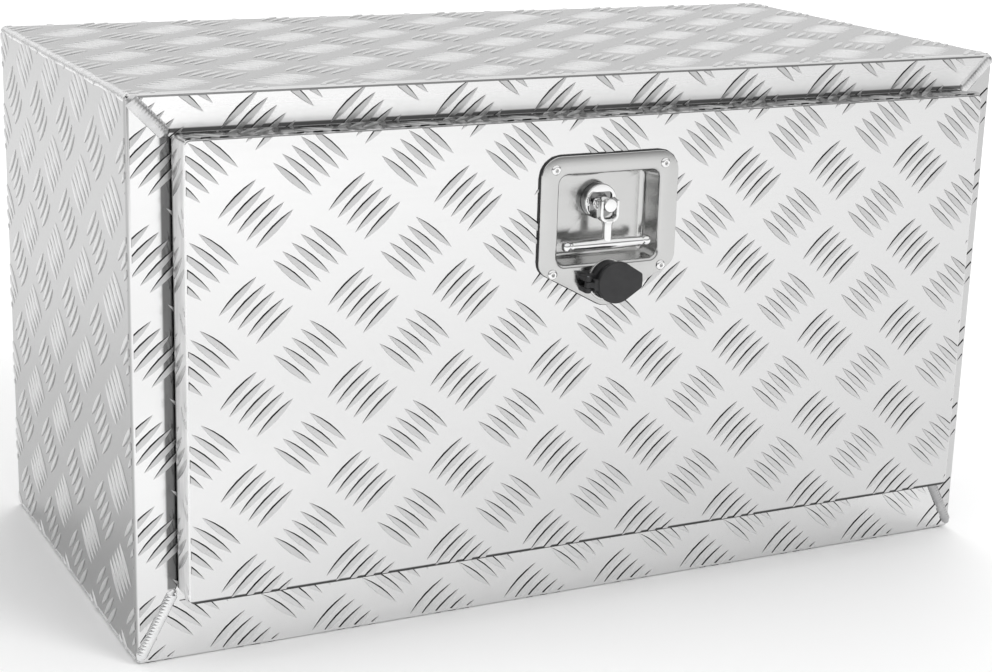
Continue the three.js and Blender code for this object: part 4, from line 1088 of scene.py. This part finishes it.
# %% [markdown]
# ## Floor, backdrop and light
# Bright metal shows its surroundings, so the surroundings are most of its look. A pale floor runs out of
# sight. The sky is pale at the horizon, darker a little higher, most of all in front of the box, and white
# overhead. A soft lamp stands in front, a small one low by the left foot, a large one whitens the floor
# behind, and a soft sun fills in. None of the lamps is seen by the camera or in the metal.

# %% Floor
FLOOR_REACH = 30.0


def pale_floor():
    material, tree = start_finish("pale_floor")
    cloud = pattern(tree, 3.0, detail=2.0)
    shader = tree.nodes["Principled BSDF"]
    tree.links.new(mixed(tree, cloud, 0.93, 0.95), shader.inputs["Base Color"])
    shader.inputs["Roughness"].default_value = 0.9
    return material


floor_mesh = bpy.data.meshes.new("floor")
corners = [(x * FLOOR_REACH, y * FLOOR_REACH, 0) for x, y in ((-1, -1), (1, -1), (1, 1), (-1, 1))]
floor_mesh.from_pydata(corners, [], [(0, 1, 2, 3)])
floor_mesh.materials.append(pale_floor())
floor = put_in_scene("floor", floor_mesh)
floor.location.z = -BAR_RISE
floor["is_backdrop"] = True
print("floor size in m:", 2 * FLOOR_REACH)

# %% Light
def hung(name, lamp, direction):
    """Put a lamp in the scene, seen by neither the camera nor the metal."""
    holder = put_in_scene(name, lamp)
    holder.rotation_euler = Vector(direction).to_track_quat("-Z", "Y").to_euler()
    holder.visible_glossy = holder.visible_camera = False
    return holder


def soft_lamp(name, place, aim, size, power):
    lamp = bpy.data.lights.new(name, "AREA")
    lamp.shape = "RECTANGLE"
    lamp.size, lamp.size_y = size
    lamp.energy = power
    hung(name, lamp, Vector(aim) - Vector(place)).location = place


soft_lamp("front_lamp", (-0.2, -2.4, 1.3), (-0.2, -2.0, 0), (1.2, 0.9), 7)
soft_lamp("foot_lamp", (-0.3, -0.62, 0.34), (-0.3, -0.30, 0), (0.5, 0.12), 0.4)
soft_lamp("back_lamp", (1.7, 2.6, 2.4), (1.9, 1.6, 0), (3.0, 2.0), 40)
daylight = hung("daylight", bpy.data.lights.new("daylight", "SUN"), (-0.45, 0.75, -0.56))
daylight.data.energy = 1.0
daylight.data.angle = math.radians(24)

# %% Surroundings
world = bpy.data.worlds.new("studio")
bpy.context.scene.world = world
world.use_nodes = True
sky = world.node_tree


def sky_shades(shades):
    """A grey for each height above the horizon, from (height, grey) pairs."""
    node = sky.nodes.new("ShaderNodeValToRGB")
    ramp = node.color_ramp
    while len(ramp.elements) < len(shades):
        ramp.elements.new(0.5)
    for element, (place, grey) in zip(ramp.elements, shades):
        element.position = place
        element.color = (grey, grey, grey, 1)
    sky.links.new(split.outputs["Z"], node.inputs["Fac"])
    return node.outputs["Color"]


where = sky.nodes.new("ShaderNodeTexCoord")
split = sky.nodes.new("ShaderNodeSeparateXYZ")
sky.links.new(where.outputs["Generated"], split.inputs["Vector"])
behind = sky_shades(((0.0, 0.70), (0.24, 0.64), (0.32, 0.68), (0.46, 1.0), (1.0, 1.0)))
in_front = sky_shades(((0.0, 0.72), (0.08, 0.60), (0.16, 0.24), (0.34, 0.24), (0.46, 0.95)))
facing = share(sky, split.outputs["Y"], 0.40, 0.0)
sky.links.new(mixed(sky, facing, behind, in_front), sky.nodes["Background"].inputs["Color"])
sky.nodes["Background"].inputs["Strength"].default_value = 1.0
print("sky nodes:", len(sky.nodes))

# %% [markdown]
# ## Check the size
# The dressed box must keep the size of the solid one, apart from the height of the bars and the rain cap.

# %% Size and finish
low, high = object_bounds()
{"cad": [list(cad_low), list(cad_high)], "dressed": [list(low), list(high)]}
print("grown in mm:", [round((a - b) / MM, 2) for a, b in zip((*cad_low, *high), (*low, *cad_high))])
